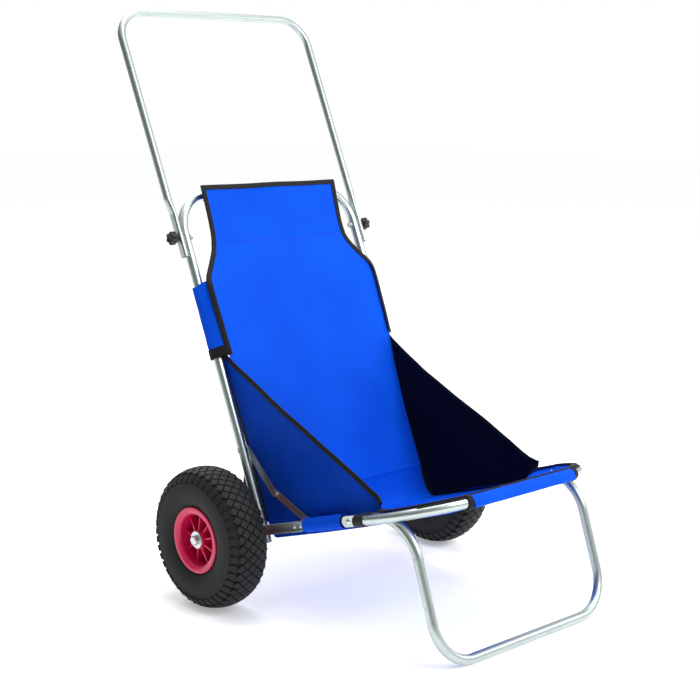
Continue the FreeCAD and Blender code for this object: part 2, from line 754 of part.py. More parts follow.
# --- Centre the footprint on the origin and write every node ----------------------------------------
bar_dir = Rotation(X_AXIS, -frame_lean - handle_extra_lean).multVec(Vector(0, 0, 1))
rear = clamp.y + bar_dir.y * handle_reach + handle_r
front = -max(leg_reach + frame_r, -on_rail(bow_front).y + loop_round(frame_r)[1])
shift = Vector(0, -(rear + front) / 2, 0)
os.makedirs("parts", exist_ok=True)
for name, solid in pieces.items():
    solid = solid.copy()
    solid.translate(shift)
    solid.exportStep("parts/" + name + ".step")
    state = "valid" if solid.isValid() else "INVALID"
    print(name, len(solid.Solids), state, round(solid.Volume))

for name, place in {"pivot": pivot, "clamp": clamp, "axle": axle_at, "stay_top": stay_top,
                    "knee": knee, "stay_low": stay_low}.items():
    spot = place + shift
    print(name, round(spot.y, 3), round(spot.z, 3))
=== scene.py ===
import json
import math

import bmesh
import bpy
from mathutils import Matrix, Vector, noise


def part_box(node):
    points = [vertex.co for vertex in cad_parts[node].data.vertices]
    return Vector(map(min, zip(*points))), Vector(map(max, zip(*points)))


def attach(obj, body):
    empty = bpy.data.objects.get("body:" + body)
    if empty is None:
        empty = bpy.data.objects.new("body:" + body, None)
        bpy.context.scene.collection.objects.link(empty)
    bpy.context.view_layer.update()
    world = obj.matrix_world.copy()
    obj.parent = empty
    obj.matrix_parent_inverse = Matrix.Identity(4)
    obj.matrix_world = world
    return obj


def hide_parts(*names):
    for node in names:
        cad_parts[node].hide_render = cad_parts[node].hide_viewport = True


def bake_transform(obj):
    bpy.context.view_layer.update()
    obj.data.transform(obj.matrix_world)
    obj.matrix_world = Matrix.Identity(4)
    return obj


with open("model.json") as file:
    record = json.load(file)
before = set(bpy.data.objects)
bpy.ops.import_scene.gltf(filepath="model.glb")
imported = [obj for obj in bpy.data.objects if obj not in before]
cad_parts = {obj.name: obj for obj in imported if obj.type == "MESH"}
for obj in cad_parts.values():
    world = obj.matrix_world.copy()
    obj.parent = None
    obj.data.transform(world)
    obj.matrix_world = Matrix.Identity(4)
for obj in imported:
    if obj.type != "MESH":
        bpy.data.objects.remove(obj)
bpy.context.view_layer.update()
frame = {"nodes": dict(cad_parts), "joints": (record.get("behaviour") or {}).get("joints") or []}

# --- Bent tubes ---------------------------------------------------------------------------------
# The back frame, leg frame, seat bow and push handle are thin round aluminium tube, bent cold
# and left bare under a satin lacquer. Handling leaves faint lengthwise marks and dull patches.
nodes = frame["nodes"]


def add(tree, kind, settings=None, **values):
    """A node with its settings, and its inputs set or linked by name."""
    made = tree.nodes.new(kind)
    for key, value in (settings or {}).items():
        setattr(made, key, value)
    for key, value in values.items():
        plug(tree, value, made.inputs[key.replace("_", " ")])
    return made


def plug(tree, value, socket):
    if isinstance(value, bpy.types.NodeSocket):
        tree.links.new(value, socket)
    else:
        socket.default_value = value


def maths(tree, operation, a, b=0.0):
    made = tree.nodes.new("ShaderNodeMath")
    made.operation = operation
    plug(tree, a, made.inputs[0])
    plug(tree, b, made.inputs[1])
    return made.outputs[0]


def mixed(tree, share, first, second):
    made = add(tree, "ShaderNodeMix", {"data_type": "RGBA"})
    plug(tree, share, made.inputs["Factor"])
    plug(tree, first, made.inputs["A"])
    plug(tree, second, made.inputs["B"])
    return made.outputs["Result"]


def effect(name, inputs, outputs):
    """An empty shader node group with named sockets, and its two end nodes."""
    group = bpy.data.node_groups.new(name, "ShaderNodeTree")
    for title, kind, value in inputs:
        socket = group.interface.new_socket(title, in_out="INPUT", socket_type=kind)
        socket.default_value = value
    for title, kind in outputs:
        group.interface.new_socket(title, in_out="OUTPUT", socket_type=kind)
    return group, group.nodes.new("NodeGroupInput"), group.nodes.new("NodeGroupOutput")


def make_metal_effect():
    """Drawing lines, dull patches and small scuffs on bare metal."""
    group, given, out = effect(
        "handled_metal",
        [("Colour", "NodeSocketColor", (0.8, 0.8, 0.8, 1)),
         ("Tarnish", "NodeSocketColor", (0.5, 0.5, 0.5, 1)),
         ("Roughness", "NodeSocketFloat", 0.3),
         ("Wear", "NodeSocketFloat", 0.3)],
        [("Colour", "NodeSocketColor"), ("Roughness", "NodeSocketFloat"),
         ("Height", "NodeSocketFloat")])
    place = add(group, "ShaderNodeTexCoord").outputs["Object"]
    patches = add(group, "ShaderNodeTexNoise", Vector=place, Scale=14.0, Detail=4.0)
    stretched = add(group, "ShaderNodeMapping", Vector=place, Scale=(260.0, 260.0, 30.0))
    lines = add(group, "ShaderNodeTexNoise", Vector=stretched.outputs[0], Scale=1.0, Detail=2.0)
    scuffs = add(group, "ShaderNodeTexNoise", Vector=place, Scale=95.0, Detail=6.0,
                 Roughness=0.7)
    worn = add(group, "ShaderNodeMapRange", Value=scuffs.outputs["Fac"])
    worn.inputs["From Min"].default_value = 0.58
    worn.inputs["From Max"].default_value = 0.72
    dull = maths(group, "MULTIPLY", patches.outputs["Fac"], given.outputs["Wear"])
    marks = maths(group, "MULTIPLY", worn.outputs[0], given.outputs["Wear"])
    share = maths(group, "MINIMUM", maths(group, "ADD", dull, marks), 1.0)
    colour = mixed(group, share, given.outputs["Colour"], given.outputs["Tarnish"])
    rough = maths(group, "MULTIPLY", share, 0.22)
    grain = maths(group, "MULTIPLY", lines.outputs["Fac"], 0.06)
    rough = maths(group, "ADD", given.outputs["Roughness"], maths(group, "ADD", rough, grain))
    height = maths(group, "ADD", lines.outputs["Fac"], scuffs.outputs["Fac"])
    group.links.new(colour, out.inputs["Colour"])
    group.links.new(rough, out.inputs["Roughness"])
    group.links.new(height, out.inputs["Height"])
    return group


metal_effect = make_metal_effect()


def finished(name, group, inputs, bump, **shader_values):
    """A material whose colour, roughness and bump come from one effect group."""
    material = bpy.data.materials.new(name)
    material.use_nodes = True
    tree = material.node_tree
    shader = tree.nodes["Principled BSDF"]
    surface = tree.nodes.new("ShaderNodeGroup")
    surface.node_tree = group
    for key, value in inputs.items():
        surface.inputs[key].default_value = value
    tree.links.new(surface.outputs["Colour"], shader.inputs["Base Color"])
    tree.links.new(surface.outputs["Roughness"], shader.inputs["Roughness"])
    relief = add(tree, "ShaderNodeBump", Strength=bump[0], Distance=bump[1])
    tree.links.new(surface.outputs["Height"], relief.inputs["Height"])
    tree.links.new(relief.outputs["Normal"], shader.inputs["Normal"])
    for key, value in shader_values.items():
        shader.inputs[key.replace("_", " ")].default_value = value
    return material


def metal(name, colour, tarnish, roughness, wear):
    inputs = {"Colour": (*colour, 1), "Tarnish": (*tarnish, 1), "Roughness": roughness,
              "Wear": wear}
    return finished(name, metal_effect, inputs, (0.25, 0.0002), Metallic=1.0)


aluminium = metal("satin_aluminium", (0.50, 0.565, 0.545), (0.30, 0.345, 0.33), 0.27, 0.45)


def dress(material, *names):
    for name in names:
        slots = nodes[name].data.materials
        slots.clear()
        slots.append(material)


dress(aluminium, "back_frame", "leg_frame", "seat_bow", "push_handle")

# --- Tube plugs, hinge channels and folding stays -----------------------------------------------
# A grey plastic plug closes each open tube end. The seat turns in aluminium channels pinned to
# the back tubes, and flat zinc-plated links with riveted ends hold it open.


def make_moulded_effect():
    """Fine moulded grain, with a little settled dust."""
    group, given, out = effect(
        "moulded_skin",
        [("Colour", "NodeSocketColor", (0.1, 0.1, 0.1, 1)),
         ("Dust", "NodeSocketColor", (0.3, 0.3, 0.3, 1)),
         ("Dusty", "NodeSocketFloat", 0.1),
         ("Roughness", "NodeSocketFloat", 0.5),
         ("Grain", "NodeSocketFloat", 900.0)],
        [("Colour", "NodeSocketColor"), ("Roughness", "NodeSocketFloat"),
         ("Height", "NodeSocketFloat")])
    place = add(group, "ShaderNodeTexCoord").outputs["Object"]
    cloud = add(group, "ShaderNodeTexNoise", Vector=place, Scale=22.0, Detail=5.0)
    grain = add(group, "ShaderNodeTexNoise", Vector=place, Scale=given.outputs["Grain"],
                Detail=2.0)
    settled = maths(group, "MULTIPLY", maths(group, "POWER", cloud.outputs["Fac"], 2.0),
                    given.outputs["Dusty"])
    colour = mixed(group, maths(group, "MINIMUM", maths(group, "MULTIPLY", settled, 2.0), 1.0),
                   given.outputs["Colour"], given.outputs["Dust"])
    rough = maths(group, "ADD", given.outputs["Roughness"],
                  maths(group, "MULTIPLY", cloud.outputs["Fac"], 0.12))
    group.links.new(colour, out.inputs["Colour"])
    group.links.new(rough, out.inputs["Roughness"])
    group.links.new(grain.outputs["Fac"], out.inputs["Height"])
    return group


moulded_effect = make_moulded_effect()


def moulded(name, colour, dust, dusty, roughness, grain, bump, **shader_values):
    inputs = {"Colour": (*colour, 1), "Dust": (*dust, 1), "Dusty": dusty,
              "Roughness": roughness, "Grain": grain}
    return finished(name, moulded_effect, inputs, bump, **shader_values)


grey_plastic = moulded("grey_plastic", (0.22, 0.23, 0.24), (0.4, 0.4, 0.38), 0.15, 0.45, 900.0,
                       (0.3, 0.0001))
black_plastic = moulded("black_plastic", (0.006, 0.006, 0.007), (0.05, 0.05, 0.048), 0.12, 0.36,
                        1100.0, (0.35, 0.0001), Specular_IOR_Level=0.35)
channel_metal = metal("mill_aluminium", (0.58, 0.63, 0.63), (0.36, 0.40, 0.40), 0.44, 0.5)
zinc = metal("bright_zinc", (0.62, 0.65, 0.66), (0.36, 0.38, 0.39), 0.30, 0.5)
black_steel = metal("black_steel", (0.08, 0.08, 0.085), (0.03, 0.03, 0.03), 0.42, 0.4)
dress(grey_plastic, "frame_end_plugs")
dress(channel_metal, "hinge_channel_left", "hinge_channel_right")
dress(zinc, "seat_pivot_pins", "stay_top_rivets", "channel_rivets", "bow_rivets", "clamp_nuts",
      "upper_stay_left", "upper_stay_right", "lower_stay_left", "lower_stay_right",
      "stay_knee_rivet_left", "stay_knee_rivet_right", "stay_foot_rivet_left",
      "stay_foot_rivet_right")

# --- Axle ---------------------------------------------------------------------------------------
# A steel axle runs through two plates welded behind the back tubes. Washers and pressed caps
# hold each wheel on it, with plastic spacers between the frame and the hubs.
dress(black_steel, "axle_bracket_left", "axle_bracket_right")
dress(zinc, "axle", "axle_washers", "axle_caps", "clamp_bolt_left", "clamp_bolt_right")
dress(black_plastic, "axle_spacers", "hub_bushes_left", "hub_bushes_right")

# --- Wheel rims ---------------------------------------------------------------------------------
# Each rim is one moulding in red nylon: a barrel with a rolled flange at both edges, a web set
# deep inside, a hub, and thin blades that brace the hub against the barrel.
side_of = {"left": -1, "right": 1}
axle_y = frame["joints"][[j["name"] for j in frame["joints"]].index("wheel_left_spin")]["pos_m"][1]
axle_z = frame["joints"][[j["name"] for j in frame["joints"]].index("wheel_left_spin")]["pos_m"][2]
tyre_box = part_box("tyre_right")
track_half = (tyre_box[0].x + tyre_box[1].x) / 2
wheel_r = tyre_box[1].z - axle_z
rim_red = moulded("rim_nylon", (0.60, 0.004, 0.075), (0.46, 0.10, 0.13), 0.06, 0.24, 700.0,
                  (0.15, 0.0001), Specular_IOR_Level=0.35, Coat_Weight=0.2, Coat_Roughness=0.15)


def new_piece(name, vertices, faces, materials, smooth_angle=40.0):
    mesh = bpy.data.meshes.new(name)
    mesh.from_pydata(vertices, [], faces)
    mesh.validate()
    mesh.polygons.foreach_set("use_smooth", [True] * len(mesh.polygons))
    mesh.set_sharp_from_angle(angle=math.radians(smooth_angle))
    for material in materials:
        mesh.materials.append(material)
    piece = bpy.data.objects.new(name, mesh)
    bpy.context.scene.collection.objects.link(piece)
    return piece


def turned(outline, segments):
    """Vertices and outward faces of a closed (across, radius) outline turned about X."""
    count = len(outline)
    vertices = []
    faces = []
    for step in range(segments):
        angle = 2 * math.pi * step / segments
        for across, radius in outline:
            vertices.append((across, radius * math.sin(angle), radius * math.cos(angle)))
    for step in range(segments):
        after = (step + 1) % segments
        for index in range(count):
            follow = (index + 1) % count
            faces.append((step * count + index, step * count + follow,
                          after * count + follow, after * count + index))
    return vertices, faces


def rounded(corners, steps=4):
    """A closed outline whose corners (across, radius, fillet) are rounded off."""
    points = []
    for index, (x, y, fillet) in enumerate(corners):
        here = Vector((x, y))
        before = Vector(corners[index - 1][:2]) - here
        after = Vector(corners[(index + 1) % len(corners)][:2]) - here
        reach = min(fillet, before.length * 0.45, after.length * 0.45)
        start = here + before.normalized() * reach
        end = here + after.normalized() * reach
        if fillet == 0:
            points.append(here)
            continue
        for step in range(steps + 1):
            t = step / steps
            points.append(start * (1 - t) ** 2 + here * 2 * t * (1 - t) + end * t ** 2)
    return [(p.x, p.y) for p in points]


rim_outline = rounded([
    (0.0368, 0.0608, 0.0012), (0.0372, 0.0560, 0.002), (0.0345, 0.0480, 0.003),
    (0.0290, 0.0462, 0.004), (-0.0100, 0.0440, 0.004), (-0.0100, 0.0185, 0.003),
    (0.0270, 0.0172, 0.001), (0.0300, 0.0168, 0.001), (0.0300, 0.0104, 0.0006),
    (-0.0300, 0.0104, 0.0006), (-0.0300, 0.0168, 0.001), (-0.0140, 0.0185, 0.003),
    (-0.0140, 0.0440, 0.004), (-0.0290, 0.0462, 0.004), (-0.0345, 0.0480, 0.003),
    (-0.0372, 0.0560, 0.002), (-0.0368, 0.0608, 0.0012), (-0.0334, 0.0608, 0.001),
    (-0.0334, 0.0505, 0.002), (0.0334, 0.0505, 0.002), (0.0334, 0.0608, 0.001)])
rim_blades = 9
blade_half = 0.0013
valve_angle = math.radians(25)


def blade_block(angle, outline, half):
    """A thin plate standing along the radius, tapered to its free edge."""
    vertices = []
    for side in (-1, 1):
        for across, radius, share in outline:
            y, z = side * half * share, radius
            vertices.append((across, y * math.cos(angle) + z * math.sin(angle),
                             -y * math.sin(angle) + z * math.cos(angle)))
    count = len(outline)
    faces = [tuple(range(count)), tuple(range(2 * count - 1, count - 1, -1))]
    for index in range(count):
        follow = (index + 1) % count
        faces.append((index, index + count, follow + count, follow))
    return vertices, faces


def place_wheel(vertices, side):
    """Shift wheel points from the hub's middle to one end of the axle."""
    return [(side * (x + track_half), y + axle_y, z + axle_z) for x, y, z in vertices]


def face_out(piece):
    """Turn every closed shell of a mesh to face outward."""
    work = bmesh.new()
    work.from_mesh(piece.data)
    bmesh.ops.recalc_face_normals(work, faces=work.faces)
    work.to_mesh(piece.data)
    work.free()


for hand, side in side_of.items():
    points, faces = turned(rim_outline, 96)
    for number in range(rim_blades):
        angle = 2 * math.pi * (number + 0.5) / rim_blades + valve_angle
        outer_blade = [(-0.0105, 0.0178, 1.6), (0.0262, 0.0165, 1.0), (0.0205, 0.0475, 1.0),
                       (-0.0105, 0.0475, 1.6)]
        inner_blade = [(-0.0135, 0.0178, 1.6), (-0.0262, 0.0165, 1.0), (-0.0262, 0.0475, 1.0),
                       (-0.0135, 0.0475, 1.6)]
        for outline in (outer_blade, inner_blade):
            more, more_faces = blade_block(angle, outline, blade_half)
            faces += [tuple(index + len(points) for index in face) for face in more_faces]
            points += more
    rim = new_piece("rim_" + hand + "_moulding", place_wheel(points, side), faces, [rim_red], 35)
    face_out(rim)
    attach(rim, "wheel_" + hand)
    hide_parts("rim_" + hand)

# --- Tyres --------------------------------------------------------------------------------------
# Black pneumatic tyres with plain side walls. Lozenge blocks stand in staggered rows across the
# crown, and a ring of square lugs wraps over each shoulder.
tyre_rubber = moulded("tyre_rubber", (0.0065, 0.0075, 0.008), (0.045, 0.045, 0.042), 0.14, 0.58,
                      650.0, (0.4, 0.0002), Specular_IOR_Level=0.25)
soft_rubber = moulded("tube_rubber", (0.01, 0.01, 0.01), (0.05, 0.05, 0.05), 0.1, 0.5, 700.0,
                      (0.3, 0.0001), Specular_IOR_Level=0.3)
dress(soft_rubber, "inner_tube_left", "inner_tube_right", "valve_left", "valve_right")
tread_depth = 0.0032
carcass_r = wheel_r - tread_depth
tyre_outline = rounded([
    (0.0280, 0.0508, 0.0010), (0.0330, 0.0508, 0.0010), (0.0332, 0.0618, 0.0015),
    (0.0372, 0.0660, 0.002), (0.0379, 0.0668, 0.0006), (0.0379, 0.0690, 0.0006),
    (0.0388, 0.0700, 0.0006), (0.0418, 0.0800, 0.008), (0.0424, 0.0930, 0.008),
    (0.0412, 0.1020, 0.004), (0.0417, 0.1032, 0.0006), (0.0410, 0.1052, 0.0006),
    (0.0396, 0.1062, 0.004), (0.0346, 0.1150, 0.010), (0.0238, 0.1212, 0.012),
    (0.0100, carcass_r - 0.0004, 0.010), (-0.0100, carcass_r - 0.0004, 0.010),
    (-0.0238, 0.1212, 0.012), (-0.0346, 0.1150, 0.010), (-0.0396, 0.1062, 0.004),
    (-0.0410, 0.1052, 0.0006), (-0.0417, 0.1032, 0.0006), (-0.0412, 0.1020, 0.004),
    (-0.0424, 0.0930, 0.008), (-0.0418, 0.0800, 0.008), (-0.0388, 0.0700, 0.0006),
    (-0.0379, 0.0690, 0.0006), (-0.0379, 0.0668, 0.0006), (-0.0372, 0.0660, 0.002),
    (-0.0332, 0.0618, 0.0015), (-0.0330, 0.0508, 0.0010), (-0.0280, 0.0508, 0.0010),
    (-0.0285, 0.0620, 0.004), (-0.0370, 0.0900, 0.010), (-0.0320, 0.1100, 0.010),
    (0.0, 0.1205, 0.020), (0.0320, 0.1100, 0.010), (0.0370, 0.0900, 0.010),
    (0.0285, 0.0620, 0.004)])


def make_block(name, outline, depth, shrink):
    """One rubber block, rooted below its foot and narrowing to a rounded top."""
    rings = [(1.06, -0.0032), (1.0, depth * 0.72), (1.0 - shrink * 0.35, depth * 0.93),
             (1.0 - shrink, depth)]
    vertices = [(x * scale, y * scale, height) for scale, height in rings for x, y in outline]
    count = len(outline)
    faces = [tuple(reversed(range(count))),
             tuple(range((len(rings) - 1) * count, len(rings) * count))]
    for ring in range(len(rings) - 1):
        for index in range(count):
            follow = (index + 1) % count
            low = ring * count
            faces.append((low + index, low + follow, low + count + follow, low + count + index))
    block = new_piece(name, vertices, faces, [tyre_rubber], 30)
    return block


lozenge = [(0.0082, 0.0), (0.0074, 0.0012), (0.0011, 0.0074), (0.0, 0.0079),
           (-0.0011, 0.0074), (-0.0074, 0.0012), (-0.0082, 0.0), (-0.0074, -0.0012),
           (-0.0011, -0.0074), (0.0, -0.0079), (0.0011, -0.0074), (0.0074, -0.0012)]
lug = [(0.0078, 0.0040), (0.0068, 0.0050), (-0.0068, 0.0058), (-0.0078, 0.0050),
       (-0.0078, -0.0050), (-0.0068, -0.0058), (0.0068, -0.0050), (0.0078, -0.0040)]
lozenge_block = make_block("lozenge_block", lozenge, tread_depth, 0.16)
lug_block = make_block("lug_block", lug, tread_depth * 0.6, 0.16)


def make_tread_tree():
    """Rows of blocks round a wheel, each row half a step on from the last."""
    tree = bpy.data.node_groups.new("tyre_tread", "GeometryNodeTree")
    tree.interface.new_socket("Geometry", in_out="INPUT", socket_type="NodeSocketGeometry")
    for title, kind in (("Block", "NodeSocketObject"), ("Rubber", "NodeSocketMaterial"),
                        ("Rows", "NodeSocketInt"), ("Blocks Round", "NodeSocketInt"),
                        ("Wheel Radius", "NodeSocketFloat"), ("Crown Radius", "NodeSocketFloat"),
                        ("Row Angle", "NodeSocketFloat"), ("Hub", "NodeSocketVector"),
                        ("Hand", "NodeSocketFloat")):
        tree.interface.new_socket(title, in_out="INPUT", socket_type=kind)
    tree.interface.new_socket("Geometry", in_out="OUTPUT", socket_type="NodeSocketGeometry")
    given = tree.nodes.new("NodeGroupInput").outputs
    out = tree.nodes.new("NodeGroupOutput")
    total = maths(tree, "MULTIPLY", given["Rows"], given["Blocks Round"])
    points = add(tree, "GeometryNodePoints", Count=total)
    index = add(tree, "GeometryNodeInputIndex").outputs[0]
    row = maths(tree, "FLOOR", maths(tree, "DIVIDE", index, given["Blocks Round"]))
    middle = maths(tree, "MULTIPLY", maths(tree, "SUBTRACT", given["Rows"], 1.0), 0.5)
    crown = maths(tree, "MULTIPLY", maths(tree, "SUBTRACT", row, middle), given["Row Angle"])
    stagger = maths(tree, "MULTIPLY", maths(tree, "MODULO", row, 2.0), 0.5)
    turn = maths(tree, "DIVIDE", maths(tree, "ADD", index, stagger), given["Blocks Round"])
    turn = maths(tree, "MULTIPLY", turn, 2 * math.pi)
    reach = maths(tree, "MULTIPLY", given["Crown Radius"], maths(tree, "COSINE", crown))
    base = maths(tree, "SUBTRACT", given["Wheel Radius"], given["Crown Radius"])
    radius = maths(tree, "ADD", base, reach)
    across = maths(tree, "MULTIPLY", given["Crown Radius"], maths(tree, "SINE", crown))
    spot = add(tree, "ShaderNodeCombineXYZ", X=across,
               Y=maths(tree, "MULTIPLY", radius, maths(tree, "SINE", turn)),
               Z=maths(tree, "MULTIPLY", radius, maths(tree, "COSINE", turn)))
    tree.links.new(spot.outputs[0], points.inputs["Position"])
    tilt = add(tree, "FunctionNodeAxisAngleToRotation", Axis=(0.0, 1.0, 0.0), Angle=crown)
    roll = add(tree, "FunctionNodeAxisAngleToRotation", Axis=(1.0, 0.0, 0.0),
               Angle=maths(tree, "MULTIPLY", turn, -1.0))
    facing = add(tree, "FunctionNodeRotateRotation", {"rotation_space": "GLOBAL"},
                 Rotation=tilt.outputs[0], Rotate_By=roll.outputs[0])
    block = add(tree, "GeometryNodeObjectInfo", Object=given["Block"])
    blocks = add(tree, "GeometryNodeInstanceOnPoints", Points=points.outputs[0],
                 Instance=block.outputs["Geometry"], Rotation=facing.outputs[0])
    solid = add(tree, "GeometryNodeRealizeInstances", Geometry=blocks.outputs[0])
    handed = add(tree, "ShaderNodeCombineXYZ", X=given["Hand"], Y=1.0, Z=1.0)
    placed = add(tree, "GeometryNodeTransform", Geometry=solid.outputs[0],
                 Translation=given["Hub"], Scale=handed.outputs[0])
    coloured = add(tree, "GeometryNodeSetMaterial", Geometry=placed.outputs[0],
                   Material=given["Rubber"])
    tree.links.new(coloured.outputs[0], out.inputs[0])
    return tree


def bake_nodes(name, holder, tree, values):
    """Set a tree's inputs, read its result as a plain mesh and drop the modifier."""
    modifier = holder.modifiers.new("nodes", "NODES")
    modifier.node_group = tree
    for item in tree.interface.items_tree:
        if item.in_out == "INPUT" and item.name in values:
            modifier[item.identifier] = values[item.name]
    depsgraph = bpy.context.evaluated_depsgraph_get()
    mesh = bpy.data.meshes.new_from_object(holder.evaluated_get(depsgraph))
    mesh.name = name
    holder.modifiers.remove(modifier)
    return mesh


def joined(name, meshes):
    """One mesh piece from several meshes that share their material order."""
    work = bmesh.new()
    for mesh in meshes:
        work.from_mesh(mesh)
    result = bpy.data.meshes.new(name)
    work.to_mesh(result)
    work.free()
    for material in meshes[0].materials:
        result.materials.append(material)
    piece = bpy.data.objects.new(name, result)
    bpy.context.scene.collection.objects.link(piece)
    return piece


tread_tree = make_tread_tree()
tread_rings = [
    {"Block": lozenge_block, "Rows": 6, "Blocks Round": 44, "Wheel Radius": carcass_r - 0.0002,
     "Crown Radius": 0.066, "Row Angle": math.radians(8.9)},
    {"Block": lug_block, "Rows": 2, "Blocks Round": 44, "Wheel Radius": 0.1302,
     "Crown Radius": 0.0468, "Row Angle": math.radians(102)}]
for hand, side in side_of.items():
    points, faces = turned(tyre_outline, 120)
    carcass = new_piece("tyre_" + hand + "_rubber", place_wheel(points, side), faces,
                        [tyre_rubber], 35)
    face_out(carcass)
    parts = [carcass.data]
    for ring in tread_rings:
        holder = new_piece("tread_holder", [(0, 0, 0)], [], [])
        values = dict(ring, Rubber=tyre_rubber, Hand=float(side),
                      Hub=(side * track_half, axle_y, axle_z))
        parts.append(bake_nodes("tread", holder, tread_tree, values))
        bpy.data.objects.remove(holder)
    bpy.data.objects.remove(carcass)
    tyre = joined("tyre_" + hand + "_rubber", parts)
    face_out(tyre)
    tyre.data.set_sharp_from_angle(angle=math.radians(38))
    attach(tyre, "wheel_" + hand)
    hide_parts("tyre_" + hand)
for block in (lozenge_block, lug_block):
    bpy.data.objects.remove(block)

# --- Clamp knobs --------------------------------------------------------------------------------
# Each knob is a black moulded star with six rounded lobes and a thin neck, pressed on the head
# of the bolt that clamps the handle to the back frame.
clamp_at = Vector(frame["joints"][[j["name"] for j in frame["joints"]].index("handle_swing")]
                  ["pos_m"])
knob_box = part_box("clamp_knob_right")
knob_from = knob_box[0].x
knob_neck = 0.0045
knob_lobes = 6
knob_layers = [(0.0, 0.0055, 0.0), (0.0004, 0.0063, 0.0), (knob_neck - 0.0006, 0.0066, 0.0),
               (knob_neck, 0.0080, 0.35), (knob_neck + 0.0008, 0.0098, 0.8),
               (knob_neck + 0.0024, 0.0108, 1.0), (0.0160, 0.0110, 1.0),
               (0.0182, 0.0104, 0.9), (0.0191, 0.0090, 0.6), (0.0195, 0.0074, 0.25),
               (0.0194, 0.0062, 0.0), (0.0186, 0.0054, 0.0), (0.0182, 0.0040, 0.0)]
for hand, side in side_of.items():
    around = 96
    points = []
    for reach, radius, lobed in knob_layers:
        for step in range(around):
            angle = 2 * math.pi * step / around
            wave = max(0.0, math.cos(knob_lobes * angle)) ** 0.7
            wave -= 0.75 * max(0.0, -math.cos(knob_lobes * angle)) ** 1.3
            r = radius + 0.0019 * wave * lobed
            points.append((side * (knob_from + reach), clamp_at.y + r * math.sin(angle),
                           clamp_at.z + r * math.cos(angle)))
    faces = [tuple(range(around)), tuple(reversed(range(len(points) - around, len(points))))]
    for layer in range(len(knob_layers) - 1):
        for step in range(around):
            after = (step + 1) % around
            low = layer * around
            faces.append((low + step, low + around + step, low + around + after, low + after))
    knob = new_piece("clamp_knob_" + hand + "_star", points, faces, [black_plastic], 40)
    face_out(knob)
    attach(knob, "knob_" + hand)
    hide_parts("clamp_knob_" + hand)

# --- Back cloth ---------------------------------------------------------------------------------
# Royal blue polyester, hung from the top tube and laced tight between the two back tubes. It is
# cut in at the neck, runs out to the shoulders, and carries a stitched seam below the neck.
pivot = Vector(frame["joints"][[j["name"] for j in frame["joints"]].index("seat_fold")]["pos_m"])
lean = math.radians(24.1)
rise = math.radians(17.0)
tube_half = 0.219
tube_r = 0.009


def on_back(up, forward, x):
    """A point up the back frame from the seat pivot, and in front of its tubes' middle."""
    return Vector((x, pivot.y + up * math.sin(lean) - forward * math.cos(lean),
                   pivot.z + up * math.cos(lean) + forward * math.sin(lean)))


def on_seat(out, above, x):
    """A point out along the seat rails from the pivot, and square above their middle."""
    return Vector((x, pivot.y - out * math.cos(rise) + above * math.sin(rise),
                   pivot.z + out * math.sin(rise) + above * math.cos(rise)))


def along(table, at):
    """Read a column of (station, value, ...) rows at a station, on a smooth curve through them."""
    at = min(max(at, table[0][0]), table[-1][0])
    place = 0
    while place < len(table) - 2 and at > table[place + 1][0]:
        place += 1
    low, high = table[place], table[place + 1]
    before, after = table[max(place - 1, 0)], table[min(place + 2, len(table) - 1)]
    step = high[0] - low[0]
    t = (at - low[0]) / step
    values = []
    for k in range(1, len(low)):
        leave = (high[k] - before[k]) / (high[0] - before[0]) * step
        arrive = (after[k] - low[k]) / (after[0] - low[0]) * step
        values.append((2 * t ** 3 - 3 * t ** 2 + 1) * low[k] + (t ** 3 - 2 * t ** 2 + t) * leave
                      + (3 * t ** 2 - 2 * t ** 3) * high[k] + (t ** 3 - t ** 2) * arrive)
    return values


def smooth(low, high, at):
    """0 below low, 1 above high, and a smooth rise between."""
    t = min(1.0, max(0.0, (at - low) / (high - low)))
    return t * t * (3 - 2 * t)


def ripple(point, size, amount, seed):
    """A small smooth swelling and sinking of cloth."""
    return amount * noise.noise(point / size + Vector((seed, 0.37 * seed, 0)))


